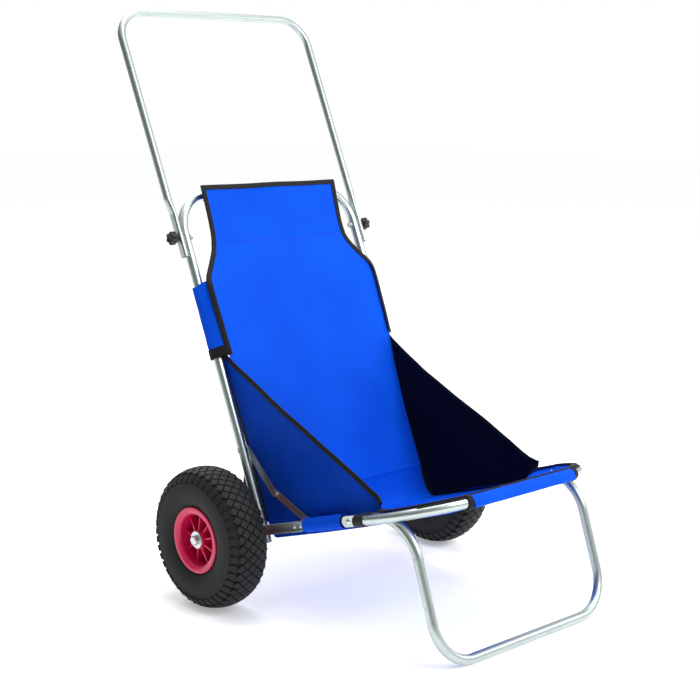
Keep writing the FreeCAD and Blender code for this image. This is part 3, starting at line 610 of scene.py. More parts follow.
def make_cloth_effect():
    """Plain weave on the cloth's own UV, in metres, with faded and handled patches."""
    group, given, out = effect(
        "woven_cloth",
        [("Colour", "NodeSocketColor", (0.01, 0.09, 0.8, 1)),
         ("Deep", "NodeSocketColor", (0.005, 0.04, 0.5, 1)),
         ("Pitch", "NodeSocketFloat", 0.0009),
         ("Roughness", "NodeSocketFloat", 0.6)],
        [("Colour", "NodeSocketColor"), ("Roughness", "NodeSocketFloat"),
         ("Height", "NodeSocketFloat")])
    flat = add(group, "ShaderNodeUVMap", {"uv_map": "cut"}).outputs[0]
    parts = add(group, "ShaderNodeSeparateXYZ", Vector=flat)
    turns = maths(group, "DIVIDE", 2 * math.pi, given.outputs["Pitch"])
    warp = maths(group, "SINE", maths(group, "MULTIPLY", parts.outputs["X"], turns))
    weft = maths(group, "SINE", maths(group, "MULTIPLY", parts.outputs["Y"], turns))
    threads = maths(group, "MULTIPLY", warp, weft)
    place = add(group, "ShaderNodeTexCoord").outputs["Object"]
    cloud = add(group, "ShaderNodeTexNoise", Vector=place, Scale=9.0, Detail=5.0)
    fluff = add(group, "ShaderNodeTexNoise", Vector=place, Scale=420.0, Detail=3.0)
    shade = maths(group, "ADD", maths(group, "MULTIPLY", threads, 0.16),
                  maths(group, "MULTIPLY", cloud.outputs["Fac"], 0.9))
    clamped = add(group, "ShaderNodeClamp", Value=maths(group, "SUBTRACT", shade, 0.15))
    colour = mixed(group, clamped.outputs[0], given.outputs["Colour"], given.outputs["Deep"])
    rough = maths(group, "ADD", given.outputs["Roughness"],
                  maths(group, "MULTIPLY", fluff.outputs["Fac"], 0.12))
    height = maths(group, "ADD", maths(group, "MULTIPLY", threads, 0.5),
                   maths(group, "MULTIPLY", fluff.outputs["Fac"], 0.35))
    group.links.new(colour, out.inputs["Colour"])
    group.links.new(rough, out.inputs["Roughness"])
    group.links.new(height, out.inputs["Height"])
    return group


cloth_effect = make_cloth_effect()


def woven(name, colour, deep, pitch, roughness, **shader_values):
    inputs = {"Colour": (*colour, 1), "Deep": (*deep, 1), "Pitch": pitch,
              "Roughness": roughness}
    return finished(name, cloth_effect, inputs, (0.35, 0.0003), **shader_values)


blue_cloth = woven("blue_polyester", (0.0008, 0.080, 0.68), (0.0008, 0.040, 0.44), 0.0011, 0.6,
                   Specular_IOR_Level=0.05)
# Near-black navy for the inner faces of the side cloths.
near_black_inner_cloth = woven("near_black_inner_cloth", (0.002, 0.003, 0.009), (0.001, 0.0012, 0.003), 0.0011, 0.6,
                     Specular_IOR_Level=0.15)


def shell(name, rows, thick, materials, wrap=False, lining=0):
    """Closed cloth through rows of points, its inner face a thickness behind the outer."""
    height, width = len(rows), len(rows[0])
    outer, inner = [], []
    for i in range(height):
        for j in range(width):
            right = rows[i][(j + 1) % width] if wrap else rows[i][min(j + 1, width - 1)]
            left = rows[i][j - 1] if wrap else rows[i][max(j - 1, 0)]
            over = rows[min(i + 1, height - 1)][j] - rows[max(i - 1, 0)][j]
            normal = (right - left).cross(over).normalized()
            outer.append(rows[i][j])
            inner.append(rows[i][j] - normal * thick)
    total = height * width
    columns = width if wrap else width - 1
    faces, cuts, slots = [], [], []
    runs = []
    for i in range(height):
        run = [0.0]
        for j in range(width):
            run.append(run[-1] + (rows[i][(j + 1) % width] - rows[i][j]).length)
        runs.append(run)
    climbs = [[0.0] * (width + 1)]
    for i in range(1, height):
        climbs.append([climbs[-1][j] + (rows[i][j % width] - rows[i - 1][j % width]).length
                       for j in range(width + 1)])

    def face(corners, slot, inside):
        indices = [i * width + j % width + (total if under else 0) for i, j, under in corners]
        marks = [(runs[i][j], climbs[i][j] + (thick if under and not inside else 0))
                 for i, j, under in corners]
        faces.append(indices)
        cuts.append(marks)
        slots.append(slot)

    for i in range(height - 1):
        for j in range(columns):
            face([(i, j, 0), (i, j + 1, 0), (i + 1, j + 1, 0), (i + 1, j, 0)], 0, False)
            face([(i, j, 1), (i + 1, j, 1), (i + 1, j + 1, 1), (i, j + 1, 1)], lining, True)
    for j in range(columns):
        face([(0, j, 1), (0, j + 1, 1), (0, j + 1, 0), (0, j, 0)], 0, False)
        last = height - 1
        face([(last, j, 0), (last, j + 1, 0), (last, j + 1, 1), (last, j, 1)], 0, False)
    if not wrap:
        for i in range(height - 1):
            face([(i, 0, 0), (i + 1, 0, 0), (i + 1, 0, 1), (i, 0, 1)], 0, False)
            last = width - 1
            face([(i, last, 1), (i + 1, last, 1), (i + 1, last, 0), (i, last, 0)], 0, False)
    piece = new_piece(name, [tuple(p) for p in outer + inner], faces, materials, 60)
    layer = piece.data.uv_layers.new(name="cut")
    for polygon, marks, slot in zip(piece.data.polygons, cuts, slots):
        polygon.material_index = slot
        for loop, mark in zip(polygon.loop_indices, marks):
            layer.data[loop].uv = mark
    return piece


cloth_thick = 0.0012
back_foot = 0.046
back_top = 0.6555
neck_seam = 0.542
# station up the frame, half width, forward at the edge, forward at the middle
back_cut = [(0.040, 0.1985, 0.0170, 0.0195), (0.150, 0.1992, 0.0180, 0.0200),
            (0.250, 0.2030, 0.0205, 0.0195), (0.335, 0.2105, 0.0244, 0.0190),
            (0.400, 0.2130, 0.0252, 0.0180), (0.455, 0.2140, 0.0252, 0.0172),
            (0.478, 0.2105, 0.0232, 0.0170), (0.505, 0.1925, 0.0180, 0.0170),
            (0.532, 0.1760, 0.0150, 0.0172), (0.560, 0.1695, 0.0162, 0.0178),
            (0.600, 0.1690, 0.0205, 0.0200), (0.6555, 0.1712, 0.0262, 0.0250)]


def back_point(up, u, proud=0.0):
    """The back cloth's front face at a height, u from -1 at the left edge to 1."""
    half, edge, middle = along(back_cut, up)
    pull = abs(u) ** 3
    forward = middle + (edge - middle) * pull
    x = half * u
    flat = Vector((x, up, 0))
    forward += ripple(flat, 0.16, 0.0030, 3.0) * (1 - pull)
    diagonal = math.sin((x + up * 0.9) * 34) * math.sin((x - up) * 9 + 1.2)
    forward += 0.0010 * diagonal * (1 - pull)
    forward -= 0.0009 * math.exp(-((up - neck_seam) / 0.0035) ** 2)
    return on_back(up, forward + proud, x)


columns, rows_up = 96, 150
rows = []
for i in range(rows_up + 1):
    up = back_foot + (back_top - back_foot) * i / rows_up
    rows.append([back_point(up, 2 * j / columns - 1) for j in range(columns + 1)])
back_cloth = shell("back_cloth", rows, cloth_thick, [blue_cloth])
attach(back_cloth, "back")
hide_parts("back_panel")

# --- Sleeves on the back tubes and the top pocket -----------------------------------------------
# The shoulders are sewn into sleeves that the back tubes run through, pulled to a ridge in front
# of each tube. A pocket behind the top edge takes the frame's top bar.
sleeve_from = 0.343
sleeve_to = 0.466
ridge_in = -0.0062
ridge_forward = 0.0250


def teardrop(angle, around_r, ridge):
    """Distance from a tube's middle to cloth pulled round it to a ridge in one direction."""
    tangent = math.acos(around_r / ridge)
    return around_r / math.cos(max(0.0, tangent - abs(angle)))


def back_sleeve_rows(side, low, high, around_r, slant):
    ridge = math.hypot(ridge_in, ridge_forward)
    lean_of_ridge = math.atan2(ridge_in, ridge_forward)
    result = []
    steps, turns = 26, 44
    for i in range(steps + 1):
        row = []
        for j in range(turns):
            angle = 2 * math.pi * j / turns - math.pi
            reach = teardrop(angle, around_r, ridge)
            near = max(0.0, math.cos(angle)) ** 2
            up = low + (high - low + slant * near) * i / steps
            if abs(angle) > 0.4:
                reach += ripple(Vector((angle * 0.05, up, side)), 0.022, 0.0007, 9.0)
            heading = lean_of_ridge - angle
            inboard = reach * math.sin(heading)
            row.append(on_back(up, reach * math.cos(heading), side * (tube_half + inboard)))
        result.append(row if side > 0 else row[::-1])
    return result


for hand, side in side_of.items():
    sleeve = shell("back_sleeve_" + hand, back_sleeve_rows(side, sleeve_from, sleeve_to, 0.0117,
                                                           0.005), cloth_thick, [blue_cloth],
                   wrap=True)
    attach(sleeve, "back")

pocket_half = 0.150
bend_start = 0.145
bend_r = 0.074
rows = []
for i in range(61):
    x = pocket_half * (2 * i / 60 - 1)
    past = max(0.0, abs(x) - bend_start)
    drop = bend_r - math.sqrt(bend_r ** 2 - past ** 2)
    section = [(0.6200 - drop * 0.4, 0.0195), (0.6255 - drop * 0.7, 0.0100),
               (0.6325 - drop, 0.0010), (0.6350 - drop, -0.0040), (0.6400 - drop, -0.0088),
               (0.6460 - drop, -0.0112), (0.6520 - drop, -0.0096), (0.6565 - drop, -0.0050),
               (0.6585 - drop, 0.0010), (0.6582 - drop * 0.8, 0.0090),
               (0.6570 - drop * 0.4, 0.0180), (0.6560, 0.0245)]
    row = []
    for (low_up, low_fwd), (high_up, high_fwd) in zip(section, section[1:]):
        for k in range(3):
            t = k / 3
            up = low_up + (high_up - low_up) * t
            fwd = low_fwd + (high_fwd - low_fwd) * t
            fwd += ripple(Vector((x, up * 2, 0)), 0.03, 0.0008, 5.0)
            row.append(on_back(up, fwd, x))
    row.append(on_back(section[-1][0], section[-1][1], x))
    rows.append(row)
top_pocket = shell("top_pocket", rows, cloth_thick, [blue_cloth])
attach(top_pocket, "back")

# --- Binding on the back cloth ------------------------------------------------------------------
# Black woven tape folded over every raw edge: the top, both necks, the shoulders and ridges, and
# round the foot of each sleeve. A row of thread runs along it and along the seam.
black_tape = woven("black_tape", (0.004, 0.0045, 0.006), (0.0015, 0.0018, 0.0025), 0.0016, 0.6,
                   Specular_IOR_Level=0.2, Sheen_Weight=0.02)
thread = moulded("black_thread", (0.012, 0.012, 0.014), (0.03, 0.03, 0.03), 0.1, 0.6, 2500.0,
                 (0.2, 0.0001))
blue_thread = moulded("blue_thread", (0.003, 0.05, 0.45), (0.02, 0.1, 0.5), 0.1, 0.6, 2500.0,
                      (0.2, 0.0001))


def tape(name, middle, facing, width, thick, material, loop=False):
    """A flat woven tape with rounded edges along points, its face toward the facings."""
    outline = [(1.0, 0.25), (0.86, 0.85), (0.55, 1.0), (-0.55, 1.0), (-0.86, 0.85), (-1.0, 0.25),
               (-1.0, -0.25), (-0.86, -0.85), (-0.55, -1.0), (0.55, -1.0), (0.86, -0.85),
               (1.0, -0.25)]
    count, size = len(middle), len(outline)
    vertices, marks = [], []
    run = 0.0
    for i, here in enumerate(middle):
        after = middle[(i + 1) % count] if loop else middle[min(i + 1, count - 1)]
        before = middle[i - 1] if loop else middle[max(i - 1, 0)]
        ahead = (after - before).normalized()
        across = ahead.cross(facing[i]).normalized()
        up = across.cross(ahead)
        for a, b in outline:
            vertices.append(tuple(here + across * a * width / 2 + up * b * thick / 2))
        marks.append(run)
        run += (after - here).length
    faces, cuts = [], []
    girth = 2 * (width + thick)
    for i in range(count if loop else count - 1):
        after = (i + 1) % count
        far = run if loop and after == 0 else marks[after]
        for k in range(size):
            follow = (k + 1) % size
            faces.append((i * size + k, i * size + follow, after * size + follow,
                          after * size + k))
            cuts.append([(girth * k / size, marks[i]), (girth * (k + 1) / size, marks[i]),
                         (girth * (k + 1) / size, far), (girth * k / size, far)])
    if not loop:
        faces.append(tuple(reversed(range(size))))
        faces.append(tuple(range((count - 1) * size, count * size)))
        for _ in range(2):
            cuts.append([(a * width / 2, b * thick / 2) for a, b in outline])
    piece = new_piece(name, vertices, faces, [material], 50)
    layer = piece.data.uv_layers.new(name="cut")
    for polygon, corners in zip(piece.data.polygons, cuts):
        for loop_index, corner in zip(polygon.loop_indices, corners):
            layer.data[loop_index].uv = corner
    face_out(piece)
    return piece


def merge(name, pieces):
    """Join pieces that go on one body into one."""
    result = joined(name, [piece.data for piece in pieces])
    for piece in pieces:
        bpy.data.objects.remove(piece)
    return result


tape_width = 0.0100
tape_thick = 0.0028
front_of_back = Vector((0, -math.cos(lean), math.sin(lean)))
back_tapes = []
binding_foot = 0.326
ridge_fades = (0.462, 0.492)
for side in (-1, 1):
    middle, facing = [], []
    for i in range(141):
        up = binding_foot + (back_top - binding_foot) * i / 140
        half = along(back_cut, up)[0]
        on_ridge = 1 - smooth(*ridge_fades, up)
        u = side * (1 - (0.0034 - 0.0030 * on_ridge) / half)
        middle.append(back_point(up, u, -cloth_thick / 2 + 0.0006 + 0.0016 * on_ridge))
        outboard = 0.55 * on_ridge
        facing.append((front_of_back + Vector((side * outboard, 0, 0))).normalized())
    back_tapes.append(tape("edge", middle, facing, tape_width * 1.1, tape_thick, black_tape))
middle = [back_point(back_top - 0.0030, 2 * j / 80 - 1, -cloth_thick / 2) for j in range(81)]
back_tapes.append(tape("top", middle, [front_of_back] * 81, tape_width, 0.0036, black_tape))
for side in (-1, 1):
    low = shell("cuff", back_sleeve_rows(side, 0.3270, 0.3450, 0.0126, 0.001), 0.0016,
                [black_tape], wrap=True)
    back_tapes.append(low)
back_binding = merge("back_binding", back_tapes)
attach(back_binding, "back")


def make_stitch_tree():
    """Short rounded stitches laid end to end along the lines of a mesh."""
    tree = bpy.data.node_groups.new("stitches", "GeometryNodeTree")
    tree.interface.new_socket("Geometry", in_out="INPUT", socket_type="NodeSocketGeometry")
    for title, kind in (("Pitch", "NodeSocketFloat"), ("Stitch Length", "NodeSocketFloat"),
                        ("Thread Radius", "NodeSocketFloat"), ("Thread", "NodeSocketMaterial")):
        tree.interface.new_socket(title, in_out="INPUT", socket_type=kind)
    tree.interface.new_socket("Geometry", in_out="OUTPUT", socket_type="NodeSocketGeometry")
    given = tree.nodes.new("NodeGroupInput").outputs
    out = tree.nodes.new("NodeGroupOutput")
    line = add(tree, "GeometryNodeMeshToCurve", Mesh=given["Geometry"])
    even = add(tree, "GeometryNodeResampleCurve", {"mode": "LENGTH"}, Curve=line.outputs[0],
               Length=given["Pitch"])
    ahead = add(tree, "GeometryNodeInputTangent").outputs[0]
    facing = add(tree, "FunctionNodeAlignRotationToVector", {"axis": "Z"}, Vector=ahead)
    ball = add(tree, "GeometryNodeMeshUVSphere", Segments=6, Rings=4, Radius=1.0)
    size = add(tree, "ShaderNodeCombineXYZ", X=given["Thread Radius"],
               Y=given["Thread Radius"],
               Z=maths(tree, "MULTIPLY", given["Stitch Length"], 0.5))
    stitches = add(tree, "GeometryNodeInstanceOnPoints", Points=even.outputs[0],
                   Instance=ball.outputs["Mesh"], Rotation=facing.outputs[0],
                   Scale=size.outputs[0])
    solid = add(tree, "GeometryNodeRealizeInstances", Geometry=stitches.outputs[0])
    coloured = add(tree, "GeometryNodeSetMaterial", Geometry=solid.outputs[0],
                   Material=given["Thread"])
    tree.links.new(coloured.outputs[0], out.inputs[0])
    return tree


stitch_tree = make_stitch_tree()


def stitch(name, lines, material):
    """Thread stitches along lines of points, as one piece."""
    mesh = bpy.data.meshes.new(name)
    vertices, edges = [], []
    for line in lines:
        first = len(vertices)
        vertices += [tuple(p) for p in line]
        edges += [(first + k, first + k + 1) for k in range(len(line) - 1)]
    mesh.from_pydata(vertices, edges, [])
    holder = bpy.data.objects.new(name, mesh)
    bpy.context.scene.collection.objects.link(holder)
    values = {"Pitch": 0.0040, "Stitch Length": 0.0032, "Thread Radius": 0.00042,
              "Thread": material}
    result = bake_nodes(name, holder, stitch_tree, values)
    bpy.data.objects.remove(holder)
    result.polygons.foreach_set("use_smooth", [True] * len(result.polygons))
    piece = bpy.data.objects.new(name, result)
    bpy.context.scene.collection.objects.link(piece)
    return piece


seam_lines = []
for up in (neck_seam + 0.0030, neck_seam - 0.0030):
    edge = 0.955
    seam_lines.append([back_point(up, edge * (2 * j / 120 - 1), 0.0002) for j in range(121)])
back_seams = stitch("back_seam_stitches", seam_lines, blue_thread)
edge_lines = []
for side in (-1, 1):
    line = []
    for i in range(141):
        up = 0.345 + (0.648 - 0.345) * i / 140
        half = along(back_cut, up)[0]
        line.append(back_point(up, side * (1 - 0.0070 / half), 0.0011))
    edge_lines.append(line)
edge_lines.append([back_point(back_top - 0.0064, 0.97 * (2 * j / 120 - 1), 0.0014)
                   for j in range(121)])
back_edge_stitches = stitch("back_binding_stitches", edge_lines, thread)
for piece, slot_name in ((back_seams, "blue_cloth"), (back_edge_stitches, "black_webbing")):
    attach(piece, "back")

# --- Seat cloth ---------------------------------------------------------------------------------
# The same polyester, sewn between the seat rails. It sags a little in the middle and climbs at
# its front edge to lie over the seat bow.
bow_front = 0.4438
bow_bend_r = 0.135
bow_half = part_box("seat_bow")[1].x - tube_r
seat_back = 0.033
seat_front = 0.4370
seat_half = 0.1985
over_bow = 0.0112
# stations out along the rails where the edge climbs onto the bow, and where the cloth widens
climb = (0.262, 0.308)
widen = (0.288, 0.350)


def bow_reach(out):
    """Half the bow's width between tube middles, at a distance out along the rails."""
    past = max(0.0, out - (bow_front - bow_bend_r))
    return bow_half - bow_bend_r + math.sqrt(max(0.0, bow_bend_r ** 2 - past ** 2))


def seat_width(out):
    """Half the seat cloth's width: between the rails, then out over the bow's arms."""
    past = max(0.0, out - (bow_front - bow_bend_r))
    inner_r = bow_bend_r - 0.0060
    room = bow_half - bow_bend_r + math.sqrt(max(0.0, inner_r ** 2 - min(past, inner_r) ** 2))
    over = bow_reach(out) - 0.0030
    free = seat_half + (over - seat_half) * smooth(*widen, out)
    return min(free, room)


def seat_point(out, u, proud=0.0):
    """The seat cloth's upper face, u from -1 at the left edge to 1."""
    edge = -0.0175 + 0.0040 * smooth(0.033, 0.230, out)
    edge += (over_bow - edge) * smooth(*climb, out)
    sag = 0.0065 * math.sin(math.pi * min(1.0, max(0.0, (out - seat_back) / 0.36)))
    middle = -0.0150 - sag
    middle += (over_bow - middle) * smooth(0.375, seat_front, out)
    pull = abs(u) ** 5
    above = middle + (edge - middle) * pull
    x = seat_width(out) * u
    above += ripple(Vector((x, out, 0)), 0.11, 0.0030, 6.0) * (1 - pull) * (
        1 - smooth(0.40, seat_front, out))
    return on_seat(out, above + proud, x)


rows = []
rows_out, columns = 110, 90
for i in range(rows_out + 1):
    out = seat_front - (seat_front - seat_back) * i / rows_out
    rows.append([seat_point(out, 2 * j / columns - 1) for j in range(columns + 1)])
seat_cloth = shell("seat_cloth", rows, cloth_thick, [blue_cloth])
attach(seat_cloth, "seat")
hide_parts("seat_panel")

# --- Crease between back and seat ---------------------------------------------------------------
# The back cloth's foot runs down and turns forward into the seat cloth, as one soft fold over the
# hinge line.
rows = []
for i in range(41):
    t = i / 40
    row = []
    for j in range(61):
        u = 2 * j / 60 - 1
        low = back_point(back_foot + 0.004, u * 0.997, -0.0004)
        high = seat_point(seat_back + 0.004, u * 0.997, -0.0004)
        belly = Vector((low.x, pivot.y - 0.012, pivot.z - 0.014))
        row.append(high * (1 - t) ** 2 + belly * 2 * t * (1 - t) + low * t ** 2)
    rows.append(row)
crease = shell("crease_cloth", rows, cloth_thick, [blue_cloth])
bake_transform(crease)

# --- Rail sleeves and the front sleeve ----------------------------------------------------------
# Blue sleeves hold the seat cloth on the rails, between the hinge channels and the bow, and on the
# bow's front bar.
rail_sleeve_from = 0.1235
rail_sleeve_to = 0.2225
for hand, side in side_of.items():
    rows = []
    for i in range(27):
        out = rail_sleeve_from + (rail_sleeve_to - rail_sleeve_from) * i / 26
        row = []
        for j in range(44):
            angle = 2 * math.pi * j / 44 - math.pi
            reach = teardrop(angle, 0.0117, 0.0215)
            if abs(angle) > 0.5:
                reach += ripple(Vector((angle * 0.05, out, side)), 0.02, 0.0007, 4.0)
            heading = math.radians(-118) - angle
            row.append(on_seat(out, reach * math.cos(heading),
                               side * (tube_half + reach * math.sin(heading))))
        rows.append(row if side < 0 else row[::-1])
    sleeve = shell("rail_sleeve_" + hand, rows, cloth_thick, [blue_cloth], wrap=True)
    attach(sleeve, "seat")

front_half = 0.131


def bow_point(x):
    """The bow tube's middle and heading near its front bar, at a place across the seat."""
    straight = bow_half - bow_bend_r
    past = max(0.0, abs(x) - straight)
    out = bow_front - bow_bend_r + math.sqrt(bow_bend_r ** 2 - past ** 2)
    turn = math.asin(past / bow_bend_r) * (1 if x > 0 else -1)
    return out, turn


def round_bow(x, reach, angle):
    """A point round the bow tube; angle 0 is above it and a quarter turn is in front."""
    out, turn = bow_point(x)
    ahead = reach * math.sin(angle)
    return on_seat(out + ahead * math.cos(turn), reach * math.cos(angle),
                   x + ahead * math.sin(turn))


rows = []
for i in range(91):
    x = front_half * (2 * i / 90 - 1)
    row = []
    for j in range(44):
        angle = 2 * math.pi * j / 44
        reach = teardrop((angle + math.radians(55)) % (2 * math.pi) - math.pi, 0.0114, 0.0150)
        reach += ripple(Vector((x, angle * 0.05, 0)), 0.03, 0.0006, 2.0)
        row.append(round_bow(x, reach, angle))
    rows.append(row)
front_sleeve = shell("front_sleeve", rows, cloth_thick, [blue_cloth], wrap=True)
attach(front_sleeve, "seat")

# --- Binding on the seat ------------------------------------------------------------------------
# Black tape runs along the seat's free edge, inside the bow from one webbing loop to the other.
# Cuffs ring both ends of the front sleeve, and a tab wraps the bow from each cuff to its corner.
seat_tapes = []
above_seat = on_seat(0, 1, 0) - on_seat(0, 0, 0)
tape_r = bow_bend_r - 0.0040
tape_from = 0.292
arm_end = 0.020
rail_level = 0.0135
outline = []
for i in range(31):
    out = tape_from + (bow_front - bow_bend_r + arm_end - tape_from) * i / 30
    outline.append((seat_width(out) - 0.001, out))
for i in range(1, 61):
    angle = math.asin(arm_end / tape_r) + (math.pi / 2 - math.asin(arm_end / tape_r)) * i / 60
    outline.append((bow_half - bow_bend_r + tape_r * math.cos(angle),
                    bow_front - bow_bend_r + tape_r * math.sin(angle)))
for i in range(1, 30):
    outline.append(((bow_half - bow_bend_r) * (1 - i / 30), outline[-1][1]))
outline += [(0.0, outline[-1][1])] + [(-x, out) for x, out in reversed(outline)]
middle = []
for x, out in outline:
    edge = -rail_level + (over_bow + rail_level) * smooth(*climb, out)
    middle.append(on_seat(out, edge + 0.0006, x))
seat_tapes.append(tape("front", middle, [above_seat] * len(middle), tape_width * 1.15, tape_thick,
                       black_tape))
corner = bow_half - 0.030
for side in (-1, 1):
    rows = []
    for i in range(13):
        x = side * (front_half + 0.001 + 0.0085 * i / 12)
        rows.append([round_bow(x, 0.0124, 2 * math.pi * j / 44) for j in range(44)])
    seat_tapes.append(shell("cuff", rows if side > 0 else rows[::-1], 0.0014, [black_tape],
                            wrap=True))
    rows = []
    for i in range(25):
        x = side * (front_half + 0.008 + (corner - 0.008 - front_half) * i / 24)
        row = []
        for j in range(19):
            angle = math.radians(-80 + 115 * j / 18)
            row.append(round_bow(x, 0.0106, angle))
        rows.append(row)
    seat_tapes.append(shell("tab", rows if side > 0 else rows[::-1], 0.0012, [black_tape]))
seat_binding = merge("seat_binding", seat_tapes)
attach(seat_binding, "seat")
lines = [[round_bow(front_half * (2 * j / 120 - 1), 0.0136, math.radians(-3))
          for j in range(121)]]
seat_stitches = stitch("seat_stitches", lines, thread)
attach(seat_stitches, "seat")

# --- Side cloths --------------------------------------------------------------------------------
# A three-cornered gusset closes each side between the back and the seat, blue outside and black
# inside, the outer blue darker as painted shade. It hangs inside the folding stays, and its width
# goes from the back's to the seat's by its angle round the hinge line.
opening = math.pi / 2 + lean - rise
side_half = 0.2004
hem_at = 0.985
rear_hem_share = 0.475
# across the side view: (y, z) of the top edge from the back tube to the bow
top_edge = [(0.1560, 0.4560), (0.1125, 0.4300), (0.0185, 0.3830), (-0.0825, 0.3400),
            (-0.2105, 0.2815), (-0.2405, 0.2660), (-0.2760, 0.2505)]
low_edge = [(0.325, "back", -0.0020), (0.180, "back", -0.0040), (0.020, "back", -0.0060),
            (0.004, "seat", -0.0200), (0.150, "seat", -0.0185), (0.258, "seat", -0.0160),
            (0.306, "seat", 0.0100)]


def line_at(points, share):
    """A point at a share of the way along a line of points, by length."""
    lengths = [(b - a).length for a, b in zip(points, points[1:])]
    goal = share * sum(lengths)
    for a, b, length in zip(points, points[1:], lengths):
        if goal <= length:
            return a + (b - a) * (goal / length)
        goal -= length
    return points[-1]


def side_share(point):
    """How far a point of the side cloth has gone over from the back to the seat."""
    y, z = point[1] - pivot.y, point[2] - pivot.z
    angle = math.atan2(z, y)
    back_angle = math.pi / 2 - lean
    t = min(1.0, max(0.0, (angle - back_angle) / opening))
    return t * t * (3 - 2 * t)


def fan(piece):
    """Bake a side piece's placement into its mesh."""
    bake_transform(piece)


def side_point(u, v, side, proud=0.0):
    """The side cloth's outer face: u from the back to the bow, v from its foot to its top."""
    low = [on_back(a, b, 0) if kind == "back" else on_seat(a, b, 0) for a, kind, b in low_edge]
    high = [Vector((0, y, z)) for y, z in top_edge]
    spot = line_at(low, u) * (1 - v) + line_at(high, u) * v
    y, z = spot.y - pivot.y, spot.z - pivot.z
    up = y * math.sin(lean) + z * math.cos(lean)
    out = -y * math.cos(rise) + z * math.sin(rise)
    far = math.hypot(y, z)
    by_back = max(side_half, along(back_cut, up)[0] + 0.0010)
    by_seat = max(side_half, seat_width(min(out, 0.330)) + 0.0008)
    share = side_share(spot)
    x = by_back + (by_seat - by_back) * share
    free = smooth(0.16, 0.28, far) * math.sin(math.pi * min(1.0, max(0.0, share)))
    x += (0.006 + ripple(Vector((y, z, side)), 0.07, 0.005, 7.0)) * free
    spot.x = side * (x + proud)
    return spot


# A darker copy of the blue polyester on the side cloths' outer faces, as painted shade.
side_polyester_painted_shade = woven("side_polyester_painted_shade", (0.0006, 0.052, 0.48), (0.0004, 0.020, 0.21), 0.0011,
                       0.6, Specular_IOR_Level=0.05)
for hand, side in side_of.items():
    rows = []
    for i in range(49):
        row = [side_point(j / 80, i / 48, side) for j in range(81)]
        rows.append(row if side < 0 else row[::-1])
    side_cloth = shell("side_cloth_" + hand, rows, cloth_thick,
                       [side_polyester_painted_shade, near_black_inner_cloth], lining=1)
    fan(side_cloth)
    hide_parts("side_panel_" + hand)
    middle = [side_point(j / 100, hem_at, side, -cloth_thick / 2) for j in range(101)]
    hem = tape("hem", middle, [Vector((side, 0, 0))] * 101, tape_width, 0.0036, black_tape)
    middle = [side_point(0.0, 1 - i / 12, side, -cloth_thick / 2) for i in range(13)]
    middle += [side_point(j / 100 * rear_hem_share, 0.0, side, -cloth_thick / 2)
               for j in range(1, 101)]
    rear_hem = tape("rear_hem", middle, [Vector((side, 0, 0))] * 113, tape_width * 0.8,
                    tape_thick, black_tape)
    side_tape = merge("side_binding_" + hand, [hem, rear_hem])
    fan(side_tape)
    line = []
    for j in range(121):
        spot = side_point(j / 120, hem_at, side, tape_thick / 2 - cloth_thick / 2)
        line.append(spot - Vector((0, 0, 0.0030)))
    side_stitches = stitch("side_stitches_" + hand, [line], thread)
    fan(side_stitches)

# --- Webbing loops ------------------------------------------------------------------------------
# A loop of black webbing at each side ties the bow's arm to the rail, just in front of the rivet.
# Its ends overlap in a sewn patch on the outside.
loop_from = 0.276
loop_width = 0.022
loop_thick = 0.0012
loop_gap = 0.0006
webbing = woven("black_webbing", (0.004, 0.0045, 0.0055), (0.0015, 0.002, 0.0025), 0.0022, 0.5,
                Specular_IOR_Level=0.3, Sheen_Weight=0.02)
for hand, side in side_of.items():
    outer = tube_r + loop_gap + loop_thick
    ring = []
    for j in range(25):
        angle = math.pi * j / 24
        ring.append((tube_half - outer * math.sin(angle), outer * math.cos(angle)))
    for j in range(6):
        ring.append((tube_half + (bow_half - tube_half) * (j + 1) / 7, -outer))
    for j in range(25):
        angle = math.pi + math.pi * j / 24
        ring.append((bow_half - outer * math.sin(angle), outer * math.cos(angle)))
    for j in range(6):
        ring.append((bow_half - (bow_half - tube_half) * (j + 1) / 7, outer))
    rows = []
    for i in range(9):
        out = loop_from + loop_width * i / 8
        row = [on_seat(out, z, side * x) for x, z in ring]
        rows.append(row if side > 0 else row[::-1])
    loop = shell("webbing_loop_" + hand, rows, loop_thick, [webbing], wrap=True)
    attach(loop, "seat")
    if side > 0:
        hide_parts("seat_straps")

# --- Floor, light and camera --------------------------------------------------------------------
# A plain pale floor with a faint glow, in a white room that dims to the left. A soft key stands in
# front, with weaker lights above, on the right and behind.
floor_mesh = bpy.data.meshes.new("floor")
floor_half = 14.0
floor_mesh.from_pydata([(-floor_half, -floor_half, 0), (floor_half, -floor_half, 0),
                        (floor_half, floor_half, 0), (-floor_half, floor_half, 0)],
                       [], [(0, 1, 2, 3)])
floor = bpy.data.objects.new("floor", floor_mesh)
bpy.context.scene.collection.objects.link(floor)
paper = moulded("pale_floor", (0.93, 0.93, 0.93), (0.90, 0.90, 0.90), 0.3, 0.7, 300.0,
                (0.02, 0.0001), Emission_Color=(1, 1, 1, 1), Emission_Strength=0.34)
floor_mesh.materials.append(paper)

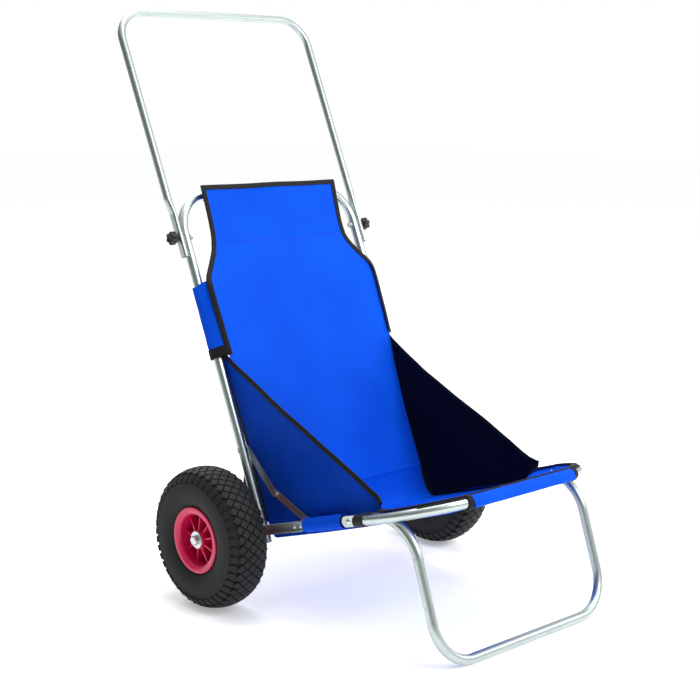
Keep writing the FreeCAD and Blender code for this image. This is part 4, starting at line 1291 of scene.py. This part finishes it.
world = bpy.data.worlds.new("studio")
world.use_nodes = True
world_tree = world.node_tree
world_out = world_tree.nodes["World Output"]
room = world_tree.nodes["Background"]
room.inputs["Strength"].default_value = 0.85
view = add(world_tree, "ShaderNodeTexCoord").outputs["Generated"]
direction = add(world_tree, "ShaderNodeSeparateXYZ", Vector=view)
across_room = maths(world_tree, "MULTIPLY", direction.outputs["X"], 0.55)
lit_side = maths(world_tree, "ADD", direction.outputs["Z"], across_room)
ramp = add(world_tree, "ShaderNodeValToRGB", Fac=lit_side)
ramp.color_ramp.elements[0].color = (0.16, 0.18, 0.18, 1)
ramp.color_ramp.elements[1].position = 0.75
ramp.color_ramp.elements[1].color = (1.0, 1.0, 1.0, 1)
world_tree.links.new(ramp.outputs["Color"], room.inputs["Color"])
white = add(world_tree, "ShaderNodeBackground", Color=(1, 1, 1, 1), Strength=1.0)
seen = add(world_tree, "ShaderNodeLightPath").outputs["Is Camera Ray"]
both = add(world_tree, "ShaderNodeMixShader", Fac=seen)
world_tree.links.new(room.outputs[0], both.inputs[1])
world_tree.links.new(white.outputs[0], both.inputs[2])
world_tree.links.new(both.outputs[0], world_out.inputs["Surface"])
bpy.context.scene.world = world
bpy.context.scene.view_settings.view_transform = "Standard"


def soft_light(name, place, target, width, power):
    lamp = bpy.data.lights.new(name, "AREA")
    lamp.shape = "RECTANGLE"
    lamp.size, lamp.size_y = width, width * 0.7
    lamp.energy = power
    holder = bpy.data.objects.new(name, lamp)
    bpy.context.scene.collection.objects.link(holder)
    holder.location = place
    holder.rotation_euler = (Vector(target) - Vector(place)).to_track_quat("-Z", "Y").to_euler()


soft_light("key", (0.6, -3.2, 2.8), (0, 0, 0.4), 1.8, 90)
soft_light("top", (0.4, 0.2, 3.4), (0, 0, 0.3), 2.6, 70)
soft_light("fill", (2.8, -1.6, 1.6), (0, 0, 0.4), 1.8, 22)
soft_light("back_light", (0.8, 3.0, 2.0), (0, 0, 0.5), 2.0, 30)

lens = bpy.data.cameras.new("camera")
lens.sensor_width = 36.0
lens.lens = 1463.4 / 700 * 36.0
camera = bpy.data.objects.new("camera", lens)
bpy.context.scene.collection.objects.link(camera)
yaw, pitch, roll = -0.766, -0.181, 0.016
forward = Vector((-math.sin(yaw) * math.cos(pitch), math.cos(yaw) * math.cos(pitch),
                  math.sin(pitch)))
level = Vector((math.cos(yaw), math.sin(yaw), 0))
upright = level.cross(forward)
right = level * math.cos(roll) + upright * math.sin(roll)
upright = right.cross(forward)
turn = Matrix((right, upright, -forward)).transposed().to_4x4()
camera.matrix_world = Matrix.Translation((-1.8934, -1.9467, 0.9476)) @ turn
bpy.context.scene.camera = camera
